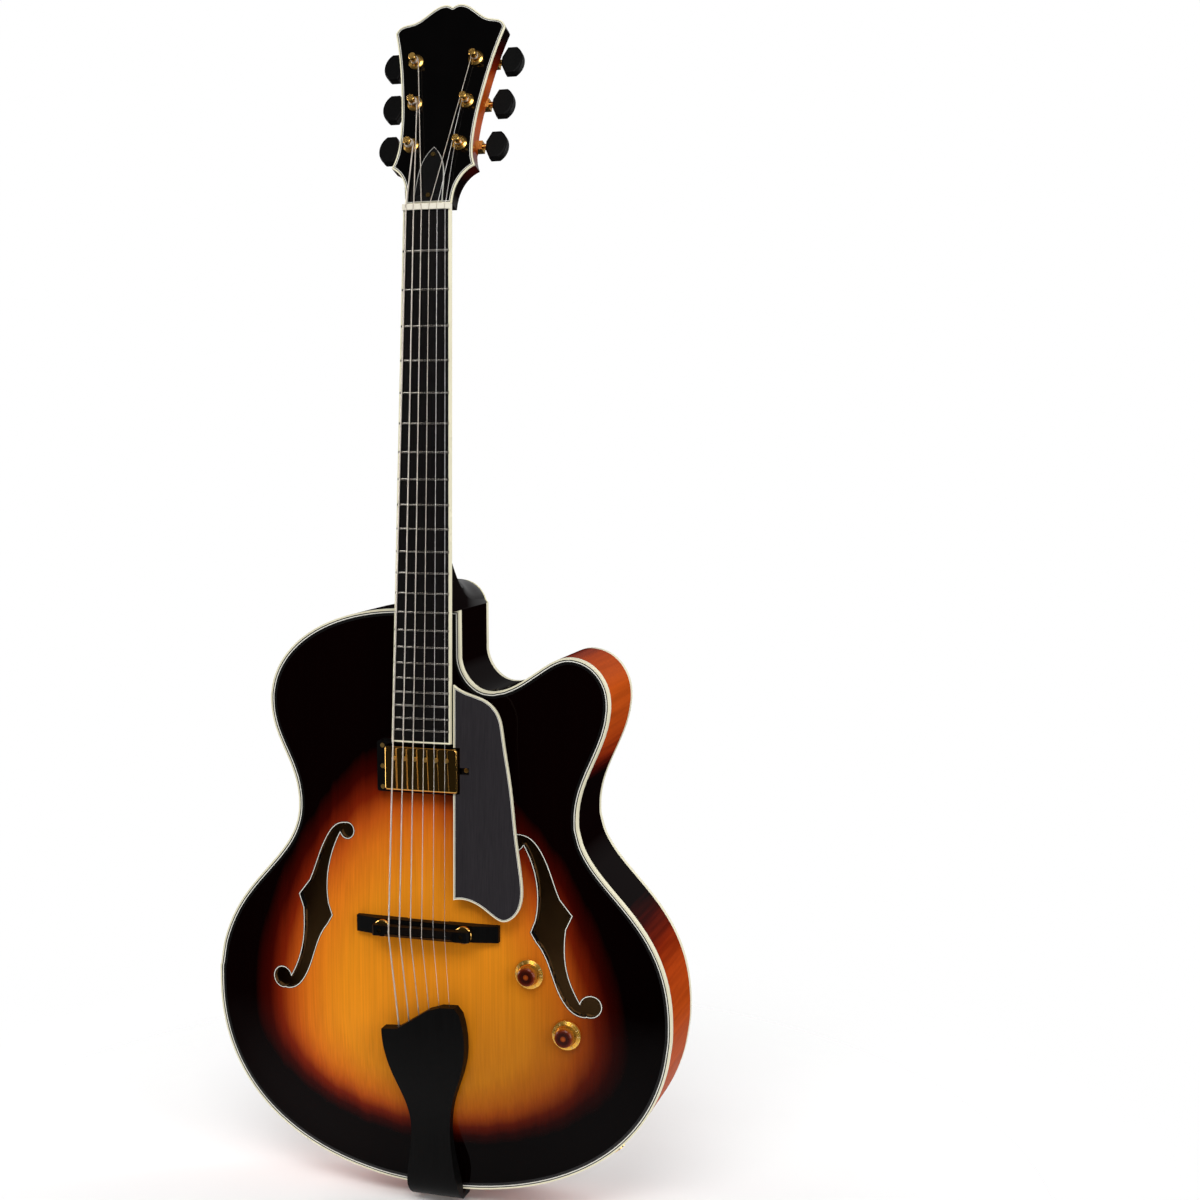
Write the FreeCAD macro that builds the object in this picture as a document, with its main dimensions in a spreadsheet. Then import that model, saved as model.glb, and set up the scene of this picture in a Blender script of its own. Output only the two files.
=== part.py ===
import FreeCAD, Part
import math
import os
import Sketcher
from FreeCAD import Placement, Rotation, Vector

# Archtop guitar with one cutaway, in millimetres and degrees.
# The end pin's outer face is the origin, +Z runs up the neck, the front faces -Y and the treble side is +X.

DIMENSIONS = (
    # Body outline, seen from the front; heights are shares of the body's length, counted from the tail
    ("body_length", 538.0),
    ("lower_bout_width", 444.0),
    ("lower_bout_share", 0.3234),
    ("waist_width", 271.0),
    ("waist_share", 0.658),
    ("upper_bout_width", 324.0),
    ("upper_bout_share", 0.8346),
    ("neck_end_width", 52.4),
    ("horn_reach", 165.5),
    ("horn_share", 0.8532),
    ("horn_top_reach", 128.0),
    ("horn_top_share", 0.9281),
    ("cutaway_floor_reach", 54.0),
    ("cutaway_floor_share", 0.8662),
    ("cutaway_corner_share", 0.9238),
    # How far each curve of the outline runs on along its tangent, as a share of what it spans that way
    ("tail_pull", 0.5856),
    ("lower_bout_pull_down", 0.632),
    ("lower_bout_pull_up", 0.583),
    ("waist_pull_down", 0.344),
    ("waist_pull_up", 0.421),
    ("upper_bout_pull", 0.4),
    ("shoulder_pull_up", 0.562),
    ("shoulder_pull_in", 0.589),
    ("horn_side_pull", 0.381),
    ("horn_pull_up", 0.546),
    ("horn_pull_in", 0.587),
    ("horn_pull_out", 0.297),
    ("cutaway_pull_out", 0.405),
    ("cutaway_pull_in", 0.5755),
    ("cutaway_pull_up", 0.4516),
    # Plates, ribs and what is glued inside
    ("rim_depth", 74.0),
    ("plate_thickness", 5.5),
    ("top_arch", 18.0),
    ("back_arch", 15.0),
    ("arch_border", 10.0),
    ("arch_fullness", 0.8),
    ("binding_width", 6.0),
    ("rib_thickness", 2.5),
    ("lining_width", 6.0),
    ("lining_height", 12.0),
    ("neck_block_height", 48.0),
    ("tail_block_height", 24.0),
    ("tail_block_width", 70.0),
    ("tone_bar_spread", 96.0),
    ("tone_bar_width", 7.0),
    ("tone_bar_depth", 11.0),
    ("tone_bar_bottom_share", 0.353),
    ("tone_bar_top_share", 0.836),
    # Sound holes, heights counted from the saddle line
    ("upper_eye_reach", 81.5),
    ("upper_eye_height", 78.0),
    ("upper_eye_radius", 8.2),
    ("lower_eye_reach", 150.5),
    ("lower_eye_height", -66.5),
    ("lower_eye_radius", 10.6),
    ("f_hole_binding_width", 1.6),
    # Neck, heights counted from the saddle line along the strings
    ("saddle_share", 0.4758),
    ("scale_length", 635.0),
    ("neck_pitch", 3.57),
    ("board_rise", 41.6),
    ("board_end", 167.0),
    ("board_end_width", 55.8),
    ("board_thickness", 6.0),
    ("board_radius", 305.0),
    ("board_binding", 1.7),
    ("nut_width", 44.0),
    ("nut_thickness", 5.0),
    ("nut_crown", 2.5),
    ("fret_width", 2.2),
    ("neck_depth_at_nut", 15.0),
    ("neck_depth_at_heel", 18.5),
    ("heel_width", 52.0),
    ("heel_reach", 21.0),
    ("heel_cap_thickness", 2.5),
    ("tongue_thickness", 6.0),
    ("tongue_inset", 4.0),
    ("truss_rod_radius", 2.9),
    ("truss_rod_bottom", 300.0),
    ("truss_rod_top", 628.0),
    ("truss_rod_clearance", 0.2),
    # Headstock, heights counted from the nut
    ("head_angle", 16.0),
    ("head_drop", 4.0),
    ("head_start", 0.6),
    ("head_thickness", 12.5),
    ("overlay_thickness", 1.6),
    ("head_binding", 3.0),
    ("truss_cover_thickness", 1.8),
    # Tuning machines
    ("tuner_low_reach", 23.0),
    ("tuner_low_height", 57.4),
    ("tuner_mid_reach", 24.6),
    ("tuner_mid_height", 98.5),
    ("tuner_high_reach", 28.6),
    ("tuner_high_height", 139.9),
    ("post_radius", 3.0),
    ("post_waist_radius", 2.5),
    ("post_cap_radius", 3.3),
    ("post_cap_length", 2.6),
    ("winding_room", 6.6),
    ("bushing_radius", 5.0),
    ("bushing_flange_radius", 6.9),
    ("bushing_flange_length", 2.2),
    ("running_clearance", 0.05),
    ("gear_radius", 3.6),
    ("gear_length", 4.0),
    ("gear_gap", 2.2),
    ("gear_clearance", 0.3),
    ("worm_radius", 1.6),
    ("worm_length", 9.0),
    ("worm_shaft_radius", 1.5),
    ("worm_shaft_tail", 1.0),
    ("worm_wall", 2.6),
    ("housing_radius", 9.0),
    ("housing_depth", 9.0),
    ("housing_reach", 15.2),
    ("housing_cover_radius", 7.4),
    ("housing_cover_depth", 1.0),
    ("tuner_tab_reach", 13.0),
    ("tuner_tab_width", 6.0),
    ("tuner_tab_thickness", 1.6),
    ("tuner_collar_radius", 2.7),
    ("tuner_collar_length", 2.7),
    ("tuner_button_width", 26.0),
    ("tuner_button_length", 20.0),
    ("tuner_button_thickness", 8.5),
    ("tuner_button_bore_depth", 6.0),
    # Strings, from the lowest to the highest
    ("string_1_diameter", 1.42),
    ("string_2_diameter", 1.14),
    ("string_3_diameter", 0.90),
    ("string_4_diameter", 0.66),
    ("string_5_diameter", 0.43),
    ("string_6_diameter", 0.33),
    ("nut_string_spread", 36.5),
    ("saddle_string_spread", 53.5),
    ("tailpiece_string_spread", 49.0),
    ("string_rise_at_nut", 1.45),
    ("string_rise_at_saddle", 4.6),
    ("tailpiece_string_rise", 31.0),
    ("string_bend_radius", 9.0),
    ("nut_slot_clearance", 0.1),
    ("winding_gap", 0.5),
    ("winding_clearance", 0.3),
    ("winding_run_in", 8.0),
    # Bridge, rises counted from the body's front edge
    ("saddle_compensation", 4.5),
    ("bridge_length", 137.0),
    ("bridge_width", 15.0),
    ("bridge_rise", 27.0),
    ("bridge_end_rise", 22.0),
    ("bridge_foot_gap", 40.0),
    ("bridge_foot_relief", 1.5),
    ("bridge_post_spread", 78.0),
    ("bridge_post_radius", 2.0),
    ("bridge_post_depth", 6.0),
    ("bridge_post_sink", 1.0),
    ("thumbwheel_radius", 8.0),
    ("thumbwheel_thickness", 3.0),
    ("thumbwheel_edge", 0.6),
    ("thumbwheel_gap", 3.0),
    ("saddle_length", 93.0),
    ("saddle_width", 9.5),
    ("saddle_ridge", 1.6),
    ("saddle_end_rise", 39.5),
    ("saddle_shoulder", 31.5),
    ("saddle_slope", 2.0),
    ("saddle_clearance", 0.5),
    # Tailpiece and end pin
    ("tailpiece_thickness", 10.5),
    ("tailpiece_length", 185.0),
    ("tailpiece_rise", 36.5),
    ("tailpiece_foot_rise", 3.0),
    ("tailpiece_foot_depth", 14.0),
    ("tailpiece_foot_thickness", 5.5),
    ("tailpiece_heel_rise", 7.5),
    ("string_hole_depth", 8.0),
    ("hanger_width", 28.0),
    ("hanger_thickness", 2.0),
    ("hanger_drop", 12.0),
    ("end_pin_shaft_radius", 4.0),
    ("end_pin_shaft_length", 22.0),
    ("end_pin_flange_radius", 9.0),
    ("end_pin_flange_length", 2.6),
    ("end_pin_neck_radius", 5.0),
    ("end_pin_neck_length", 5.0),
    ("end_pin_button_radius", 7.0),
    ("end_pin_button_length", 6.0),
    # Pickup, heights counted from the saddle line
    ("pickup_height", 142.5),
    ("pickup_cover_length", 69.5),
    ("pickup_cover_width", 39.5),
    ("pickup_cover_depth", 16.0),
    ("pickup_cover_rise", 32.0),
    ("pickup_cover_wall", 0.8),
    ("pickup_ring_length", 91.0),
    ("pickup_ring_width", 46.0),
    ("pickup_ring_rise", 23.0),
    ("pickup_ring_wall", 2.5),
    ("pickup_corner", 2.2),
    ("pickup_clearance", 1.0),
    ("pickup_leg_width", 12.0),
    ("pickup_leg_thickness", 1.5),
    ("pole_spread", 50.0),
    ("pole_offset", 9.5),
    ("pole_radius", 2.0),
    ("pole_head", 0.7),
    # Controls, heights counted from the saddle line
    ("volume_reach", 96.3),
    ("volume_height", -38.8),
    ("tone_reach", 129.9),
    ("tone_height", -92.3),
    ("knob_radius", 13.2),
    ("knob_top_radius", 8.2),
    ("knob_rise", 11.0),
    ("knob_lid", 3.0),
    ("knob_hollow", 3.0),
    ("knob_skirt", 2.4),
    ("knob_clearance", 0.9),
    ("control_shaft_radius", 3.0),
    ("control_bushing_radius", 4.6),
    ("control_can_radius", 8.5),
    ("control_can_depth", 9.0),
    ("control_can_wall", 2.0),
    ("jack_height", 46.0),
    ("jack_bore_radius", 3.25),
    ("jack_bore_depth", 16.0),
    ("jack_tube_radius", 4.7),
    ("jack_nut_radius", 6.4),
    ("jack_nut_length", 4.5),
    ("jack_washer_radius", 8.0),
    ("jack_washer_length", 1.2),
    ("jack_washer_gap", 0.3),
    ("jack_depth", 22.0),
    # Pickguard, heights counted from the saddle line
    ("guard_rise", 31.8),
    ("guard_tilt", 1.77),
    ("guard_thickness", 3.0),
    ("guard_binding", 1.8),
    ("guard_support_width", 12.0),
    # Screws
    ("screw_radius", 1.1),
    ("screw_head_radius", 2.1),
    ("screw_head_length", 1.0),
    ("screw_length", 9.0),
)
ARCH_STEP = 10.0
ARCH_SWEEPS = 140
ARCH_RELAXATION = 1.88

doc = FreeCAD.newDocument("archtop_guitar")
sheet = doc.addObject("Spreadsheet::Sheet", "dims")
for row, (alias, value) in enumerate(DIMENSIONS, start=1):
    sheet.set("A%d" % row, alias)
    sheet.set("B%d" % row, str(value))
    sheet.setAlias("B%d" % row, alias)
doc.recompute()


def dim(alias):
    """A driving dimension, read from the sheet."""
    return float(sheet.get(alias))


# Body outline

def bend(first, last, leave, arrive):
    """A cubic curve between two points: leave and arrive are the shares of its reach that its tangents pull,
    along x and along z."""
    across, up = last[0] - first[0], last[1] - first[1]
    return (first, (first[0] + leave[0] * across, first[1] + leave[1] * up),
            (last[0] - arrive[0] * across, last[1] - arrive[1] * up), last)


def outline_curves():
    """The body's edge as cubic curves in (x, z), from the bass side of the neck round to the cutaway."""
    top = dim("body_length")
    end = dim("neck_end_width") / 2
    lower = (dim("lower_bout_width") / 2, top * dim("lower_bout_share"))
    waist = (dim("waist_width") / 2, top * dim("waist_share"))
    upper = (-dim("upper_bout_width") / 2, top * dim("upper_bout_share"))
    horn = (dim("horn_reach"), top * dim("horn_share"))
    crest = (dim("horn_top_reach"), top * dim("horn_top_share"))
    floor = (dim("cutaway_floor_reach"), top * dim("cutaway_floor_share"))
    corner = (end, top * dim("cutaway_corner_share"))
    bass_waist = (-waist[0], waist[1])
    shoulder = bend((-end, top), upper, (dim("shoulder_pull_in"), 0), (0, dim("shoulder_pull_up")))
    upper_side = bend(upper, bass_waist, (0, dim("upper_bout_pull")), (0, dim("waist_pull_up")))
    tail = bend((0, 0), lower, (dim("tail_pull"), 0), (0, dim("lower_bout_pull_down")))
    lower_side = bend(lower, waist, (0, dim("lower_bout_pull_up")), (0, dim("waist_pull_down")))
    bass = [tuple((-x, z) for x, z in reversed(curve)) for curve in (lower_side, tail)]
    horn_side = bend(waist, horn, (0, dim("horn_side_pull")), (0, dim("horn_side_pull")))
    horn_top = bend(horn, crest, (0, dim("horn_pull_up")), (dim("horn_pull_in"), 0))
    cut_side = bend(crest, floor, (dim("horn_pull_out"), 0), (dim("cutaway_pull_out"), 0))
    cut_corner = bend(floor, corner, (dim("cutaway_pull_in"), 0), (0, dim("cutaway_pull_up")))
    return [shoulder, upper_side] + bass + [tail, lower_side, horn_side, horn_top, cut_side, cut_corner]


def inset_samples(curve, inset, count=17):
    """Points and tangents along one curve of the outline, moved inwards by the inset."""
    bezier = Part.BezierCurve()
    bezier.setPoles([Vector(x, 0, z) for x, z in curve])
    points = []
    tangents = []
    for step in range(count):
        t = step / (count - 1)
        tangent = bezier.tangent(t)[0].normalize()
        inward = Vector(-tangent.z, 0, tangent.x)
        points.append(bezier.value(t) + inward * inset)
        tangents.append(tangent)
    return points, tangents


def outline_points(inset):
    """Corner points of a fine polygon along the inset outline, as (x, z)."""
    points = [p for curve in outline_curves() for p in inset_samples(curve, inset, 13)[0]]
    end = dim("neck_end_width") / 2 - inset
    points.append(Vector(end, 0, dim("body_length") - inset))
    return [(p.x, p.z) for p in points]


def outline_wire(inset):
    """The body's edge moved inwards, as one closed wire in the plane y = 0."""
    edges = []
    for curve in outline_curves():
        points, tangents = inset_samples(curve, inset)
        spline = Part.BSplineCurve()
        spline.interpolate(Points=points, InitialTangent=tangents[0], FinalTangent=tangents[-1])
        edges.append(spline.toShape())
    start = edges[0].valueAt(edges[0].FirstParameter)
    finish = edges[-1].valueAt(edges[-1].LastParameter)
    corner = Vector(finish.x, 0, start.z)
    edges.append(Part.makeLine(finish, corner))
    edges.append(Part.makeLine(corner, start))
    return Part.Wire(edges)


def outline_prism(inset, front, back):
    """A solid of the inset outline between two planes y = front and y = back."""
    face = Part.Face(outline_wire(inset))
    face.translate(Vector(0, front, 0))
    return face.extrude(Vector(0, back - front, 0))


# Arching of the plates

def inside(polygon, x, z):
    """Whether a point lies inside a polygon."""
    within = False
    for (x1, z1), (x2, z2) in zip(polygon, polygon[1:] + polygon[:1]):
        if (z1 > z) != (z2 > z) and x < x1 + (z - z1) * (x2 - x1) / (z2 - z1):
            within = not within
    return within


class Arching:
    """Height of the arch, 0 on the flat border and 1 at the crown, as a loaded membrane would rise."""

    def __init__(self):
        polygon = outline_points(dim("arch_border"))
        widest = max(dim("lower_bout_width") / 2, dim("horn_reach"))
        self.half = 2 * math.ceil(widest / ARCH_STEP / 2)
        self.rows = 2 * math.ceil(dim("body_length") / ARCH_STEP / 2)
        columns = range(-self.half, self.half + 1)
        rows = range(-2, self.rows + 3)
        rise = {(i, j): 0.0 for i in columns for j in rows}
        free = [(i, j) for i, j in rise if inside(polygon, i * ARCH_STEP, j * ARCH_STEP)]
        for _ in range(ARCH_SWEEPS):
            for i, j in free:
                around = rise[i - 1, j] + rise[i + 1, j] + rise[i, j - 1] + rise[i, j + 1]
                rise[i, j] += ARCH_RELAXATION * ((around + 1.0) / 4 - rise[i, j])
        crown = max(rise.values())
        fullness = dim("arch_fullness")
        self.height = {}
        for key, value in rise.items():
            share = (value / crown) ** fullness
            self.height[key] = share * share * (3 - 2 * share)

    def at(self, x, z):
        """Share of the full arch at a point."""
        i = math.floor(x / ARCH_STEP)
        j = math.floor(z / ARCH_STEP)
        u = x / ARCH_STEP - i
        v = z / ARCH_STEP - j
        corners = [self.height.get((i + across, j + up), 0.0) for up in (0, 1) for across in (0, 1)]
        low = corners[0] * (1 - u) + corners[1] * u
        high = corners[2] * (1 - u) + corners[3] * u
        return low * (1 - v) + high * v

    def face(self, level, rise):
        """The arched surface over the whole body, flat at y = level and crowned by rise."""
        grid = []
        for i in range(-self.half, self.half + 1, 2):
            grid.append([Vector(i * ARCH_STEP, level + rise * self.height[i, j], j * ARCH_STEP)
                         for j in range(-2, self.rows + 3, 2)])
        surface = Part.BSplineSurface()
        surface.interpolate(grid)
        return surface.toShape()


arching = Arching()

# Frames: the body stands on the end pin, the neck is pitched back and the headstock is angled back again

FRONT = -dim("rim_depth") / 2
SEAT = dim("rim_depth") / 2 - dim("plate_thickness")
SADDLE_Z = dim("body_length") * dim("saddle_share")
PIN_STACK = ("hanger_thickness", "end_pin_flange_length", "end_pin_neck_length", "end_pin_button_length")
TAIL_LIFT = sum(dim(alias) for alias in PIN_STACK)
HEAD_TOTAL = dim("overlay_thickness") + dim("head_thickness")
FORWARD = Rotation(Vector(1, 0, 0), 90)
INTO = Vector(0, 1, 0)
OUT = Vector(1, 0, 0)

BODY = Placement(Vector(0, 0, TAIL_LIFT), Rotation())
NECK_IN_BODY = Placement(Vector(0, FRONT - dim("board_rise"), SADDLE_Z),
                         Rotation(Vector(1, 0, 0), -dim("neck_pitch")))
HEAD_IN_NECK = Placement(Vector(0, dim("head_drop"), dim("scale_length") + dim("nut_thickness")),
                         Rotation(Vector(1, 0, 0), -dim("head_angle")))
HEAD_IN_BODY = NECK_IN_BODY.multiply(HEAD_IN_NECK)
GUARD_IN_BODY = Placement(Vector(0, FRONT - dim("guard_rise"), SADDLE_Z),
                          Rotation(Vector(1, 0, 0), -dim("guard_tilt")))
NECK = BODY.multiply(NECK_IN_BODY)
HEAD = BODY.multiply(HEAD_IN_BODY)
GUARD = BODY.multiply(GUARD_IN_BODY)


# Ways of making pieces

finished = []


def keep(label, thing, frame=None):
    """Name a finished sub-part and give it its place."""
    thing.Label = label
    if frame is not None:
        thing.Placement = frame
    finished.append(thing)
    return thing


def piece(label, shape, frame):
    """A sub-part whose shape is made with the geometry functions."""
    feature = doc.addObject("Part::Feature", label)
    feature.Shape = shape
    return keep(label, feature, frame)


def cylinder(name, radius, height, place):
    """A round bar along its own Z axis, its sizes bound to the sheet."""
    bar = doc.addObject("Part::Cylinder", name)
    bar.setExpression("Radius", radius)
    bar.setExpression("Height", height)
    bar.Placement = place
    return bar


def block(name, length, width, height, place):
    """A box along its own axes, its sizes bound to the sheet."""
    box = doc.addObject("Part::Box", name)
    box.setExpression("Length", length)
    box.setExpression("Width", width)
    box.setExpression("Height", height)
    box.Placement = place
    return box


def cut(name, base, *tools):
    """The base with each tool taken away."""
    for index, tool in enumerate(tools):
        step = doc.addObject("Part::Cut", "%s_cut_%d" % (name, index))
        step.Base = base
        step.Tool = tool
        base = step
    return base


def group(label, parts, frame):
    """Separate solids that share one name."""
    bundle = doc.addObject("Part::Compound", label)
    bundle.Links = list(parts)
    return keep(label, bundle, frame)


def constrain(sketch, index, across, up):
    """Tie a sketch corner to the sheet by its distances from the sketch's origin."""
    for kind, expression, axis in (("DistanceX", across, -2), ("DistanceY", up, -1)):
        if expression == "0":
            sketch.addConstraint(Sketcher.Constraint("PointOnObject", index, 1, axis))
        else:
            value = float(sheet.evalExpression(expression))
            number = sketch.addConstraint(Sketcher.Constraint(kind, -1, 1, index, 1, value))
            sketch.setExpression("Constraints[%d]" % number, expression)


def turned(label, profile, frame):
    """A turned piece about its own Z axis, from (radius, height) expressions of its half section."""
    body = doc.addObject("PartDesign::Body", label)
    plane = next(f for f in body.Origin.OriginFeatures if f.Role == "XZ_Plane")
    sketch = body.newObject("Sketcher::SketchObject", label + "_section")
    sketch.AttachmentSupport = (plane, [""])
    sketch.MapMode = "FlatFace"
    corners = [Vector(float(sheet.evalExpression(r)), float(sheet.evalExpression(h)), 0) for r, h in profile]
    count = len(corners)
    for index in range(count):
        sketch.addGeometry(Part.LineSegment(corners[index], corners[(index + 1) % count]), False)
    for index in range(count):
        sketch.addConstraint(Sketcher.Constraint("Coincident", index, 2, (index + 1) % count, 1))
    for index, (across, up) in enumerate(profile):
        constrain(sketch, index, across, up)
    turn = body.newObject("PartDesign::Revolution", label + "_turning")
    turn.Profile = sketch
    turn.ReferenceAxis = (sketch, ["V_Axis"])
    turn.Angle = 360
    body.Placement = frame
    return body


def at(x, y, z, rotation=None):
    """A place, with no turn unless one is given."""
    return Placement(Vector(x, y, z), rotation or Rotation())


def moved(shape, place):
    """A copy of a shape at another place."""
    return shape.transformed(place.toMatrix(), True)


def mirrored(shape):
    """A copy of a shape on the other side of the centre line."""
    return shape.mirror(Vector(0, 0, 0), Vector(1, 0, 0))


def spline(points):
    """A smooth edge through (x, z) points."""
    curve = Part.BSplineCurve()
    curve.interpolate([Vector(x, 0, z) for x, z in points])
    return curve.toShape()


def line(start, finish):
    """A straight edge between (x, z) points."""
    return Part.makeLine(Vector(start[0], 0, start[1]), Vector(finish[0], 0, finish[1]))


def polygon_wire(points):
    """A closed wire of straight edges through (x, z) points."""
    return Part.Wire([line(a, b) for a, b in zip(points, points[1:] + points[:1])])


def drawn_in(wire, inset):
    """A flat wire moved inwards on all sides, its curved edges drawn again as plain splines."""
    edges = []
    for edge in wire.makeOffset2D(-inset, 0, False, False).OrderedEdges:
        if not isinstance(edge.Curve, Part.Line):
            curve = Part.BSplineCurve()
            curve.interpolate(edge.discretize(12))
            edge = curve.toShape()
        edges.append(edge)
    return Part.Wire(Part.__sortEdges__(edges))


def slab(wire, front, back):
    """A solid of a flat wire between two planes y = front and y = back."""
    face = Part.Face(wire)
    face.translate(Vector(0, front - face.CenterOfMass.y, 0))
    return face.extrude(Vector(0, back - front, 0))


def side_slab(points, low, high):
    """A solid of a side view, given as (z, rise over the front edge) points, between x = low and x = high."""
    corners = [Vector(low, FRONT - rise, z) for z, rise in points]
    face = Part.Face(Part.makePolygon(corners + corners[:1]))
    return face.extrude(Vector(high - low, 0, 0))


def rod(x, z, radius, front_rise, back_rise):
    """A round bar across the body, between two rises over the front edge."""
    return Part.makeCylinder(radius, front_rise - back_rise, Vector(x, FRONT - front_rise, z), INTO)


# Body

def jack_seat():
    """Where the output jack leaves the rib, and the direction out of the body."""
    tail_curve = outline_curves()[4]
    points, tangents = inset_samples(tail_curve, 0.0, 61)
    index = min(range(len(points)), key=lambda k: abs(points[k].z - dim("jack_height")))
    tangent = tangents[index]
    return points[index], Vector(tangent.z, 0, -tangent.x)


JACK_POINT, JACK_OUT = jack_seat()
JACK = BODY.multiply(Placement(JACK_POINT, Rotation(Vector(0, 0, 1), JACK_OUT)))


def ring_of(outer, inner, front, back):
    """A band of the body's outline between two insets and two planes."""
    return outline_prism(outer, front, back).cut(outline_prism(inner, front, back))


def blocks():
    """The neck block and the tail block, inside the ribs."""
    inner = outline_prism(dim("rib_thickness"), -SEAT, SEAT)
    end = dim("neck_end_width")
    neck_box = Part.makeBox(end + end / 2, 2 * SEAT, dim("neck_block_height"),
                            Vector(-end, -SEAT, dim("body_length") - dim("neck_block_height")))
    wide = dim("tail_block_width")
    tail_box = Part.makeBox(wide, 2 * SEAT, dim("tail_block_height"), Vector(-wide / 2, -SEAT, 0))
    pin_hole = Part.makeCylinder(dim("end_pin_shaft_radius"), dim("tail_block_height") * 2, Vector(0, 0, -1))
    return inner.common(neck_box), inner.common(tail_box).cut(pin_hole)


def make_ribs():
    """Four bent ribs: they meet at the tail, the treble waist, the horn's tip and the neck."""
    band = ring_of(0.0, dim("rib_thickness"), -SEAT, SEAT)
    jack_hole = Part.makeCylinder(dim("jack_tube_radius"), 4 * dim("rib_thickness"),
                                  JACK_POINT - JACK_OUT * 3 * dim("rib_thickness"), JACK_OUT)
    pin_hole = Part.makeCylinder(dim("end_pin_shaft_radius"), 4 * dim("rib_thickness"), Vector(0, 0, -1))
    band = band.cut(jack_hole).cut(pin_hole)
    room = band.BoundBox
    waist = dim("body_length") * dim("waist_share")
    tip = dim("horn_top_reach")
    spans = (("bass_rib", room.XMin, 0.0, room.ZMin, room.ZMax),
             ("treble_rib", 0.0, room.XMax, room.ZMin, waist),
             ("horn_rib", tip, room.XMax, waist, room.ZMax),
             ("cutaway_rib", 0.0, tip, waist, room.ZMax))
    for name, left, right, low, high in spans:
        strip = Part.makeBox(right - left, 2 * SEAT, high - low, Vector(left, -SEAT, low))
        piece(name, band.common(strip), BODY)


def make_blocks_and_linings(bars):
    """The end blocks, the strips that widen the gluing edge of the ribs and the bars under the top."""
    solid_blocks = blocks()
    piece("end_blocks", Part.makeCompound(solid_blocks), BODY)
    inner = dim("rib_thickness") + dim("lining_width")
    strips = []
    for front in (-SEAT, SEAT - dim("lining_height")):
        strip = ring_of(dim("rib_thickness"), inner, front, front + dim("lining_height"))
        strips.extend(strip.cut(Part.makeCompound(solid_blocks)).Solids)
    piece("linings_and_bars", Part.makeCompound(strips + bars), BODY)


F_HOLE_OUTER_UPPER = ((-83.5, 86.0), (-94.7, 82.4), (-104.4, 71.0), (-113.9, 50.2), (-122.4, 28.4))
F_HOLE_OUTER_NICK = (-134.0, 14.0)
F_HOLE_OUTER_LOWER = ((-128.4, 1.5), (-127.6, -14.0), (-129.0, -31.0), (-134.3, -49.0), (-142.6, -65.0))
F_HOLE_INNER_LOWER = ((-147.0, -77.0), (-135.5, -74.0), (-124.7, -62.0), (-116.5, -43.0), (-101.0, -11.0))
F_HOLE_INNER_NICK = (-95.6, -2.0)
F_HOLE_INNER_UPPER = ((-99.8, 9.0), (-101.6, 30.5), (-97.0, 55.8), (-88.0, 76.0))


def f_hole(shrink):
    """The bass side's sound hole as a long prism, drawn in by the shrink on all sides."""
    upper = (-dim("upper_eye_reach"), dim("upper_eye_height"))
    lower = (-dim("lower_eye_reach"), dim("lower_eye_height"))
    edges = [spline(F_HOLE_OUTER_UPPER), line(F_HOLE_OUTER_UPPER[-1], F_HOLE_OUTER_NICK),
             line(F_HOLE_OUTER_NICK, F_HOLE_OUTER_LOWER[0]), spline(F_HOLE_OUTER_LOWER),
             line(F_HOLE_OUTER_LOWER[-1], lower), line(lower, F_HOLE_INNER_LOWER[0]),
             spline(F_HOLE_INNER_LOWER), line(F_HOLE_INNER_LOWER[-1], F_HOLE_INNER_NICK),
             line(F_HOLE_INNER_NICK, F_HOLE_INNER_UPPER[0]), spline(F_HOLE_INNER_UPPER),
             line(F_HOLE_INNER_UPPER[-1], upper), line(upper, F_HOLE_OUTER_UPPER[0])]
    stem = Part.Wire(edges)
    if shrink > 0:
        stem = drawn_in(stem, shrink)
    reach = dim("rim_depth")
    solid = slab(stem, -reach, reach / 4)
    for centre, radius in ((upper, "upper_eye_radius"), (lower, "lower_eye_radius")):
        eye = Part.makeCylinder(dim(radius) - shrink, reach * 1.25, Vector(centre[0], -reach, centre[1]),
                                INTO)
        solid = solid.fuse(eye)
    solid = solid.removeSplitter()
    solid.translate(Vector(0, 0, SADDLE_Z))
    return solid


PLATE_OVERLAP = 0.3


def plate_blank(level, rise):
    """An arched plate with no holes, flat at y = level along its edge and crowned by rise."""
    inward = math.copysign(1.0, -rise)
    skin = arching.face(level, rise).extrude(Vector(0, inward * (dim("plate_thickness") + PLATE_OVERLAP), 0))
    seat = level + inward * dim("plate_thickness")
    beyond = level + 2 * rise
    return skin.common(outline_prism(dim("binding_width"), min(seat, beyond), max(seat, beyond)))


def below_top():
    """Everything behind the top plate's outer surface, to fit pieces onto the arch."""
    return arching.face(FRONT, -dim("top_arch")).extrude(Vector(0, dim("rim_depth"), 0))


def top_rise(x, z):
    """Rise of the top plate's outer surface over the front edge."""
    return dim("top_arch") * arching.at(x, z)


BEHIND_TOP = below_top()


# Pickup places, used by the plate and by the pickup

PICKUP_Z = SADDLE_Z + dim("pickup_height")
PICKUP_LEG_REACH = (dim("pickup_cover_length") + dim("pickup_ring_length")) / 4
RING_SCREW_REACH = dim("pickup_ring_width") / 2 - 2 * dim("screw_head_radius")
RING_SCREWS = [(across * PICKUP_LEG_REACH, PICKUP_Z + up * RING_SCREW_REACH)
               for across in (-1, 1) for up in (-1, 1)]
HEIGHT_SCREWS = [(across * PICKUP_LEG_REACH, PICKUP_Z) for across in (-1, 1)]
CONTROLS = {"volume": (dim("volume_reach"), SADDLE_Z + dim("volume_height")),
            "tone": (dim("tone_reach"), SADDLE_Z + dim("tone_height"))}


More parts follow.
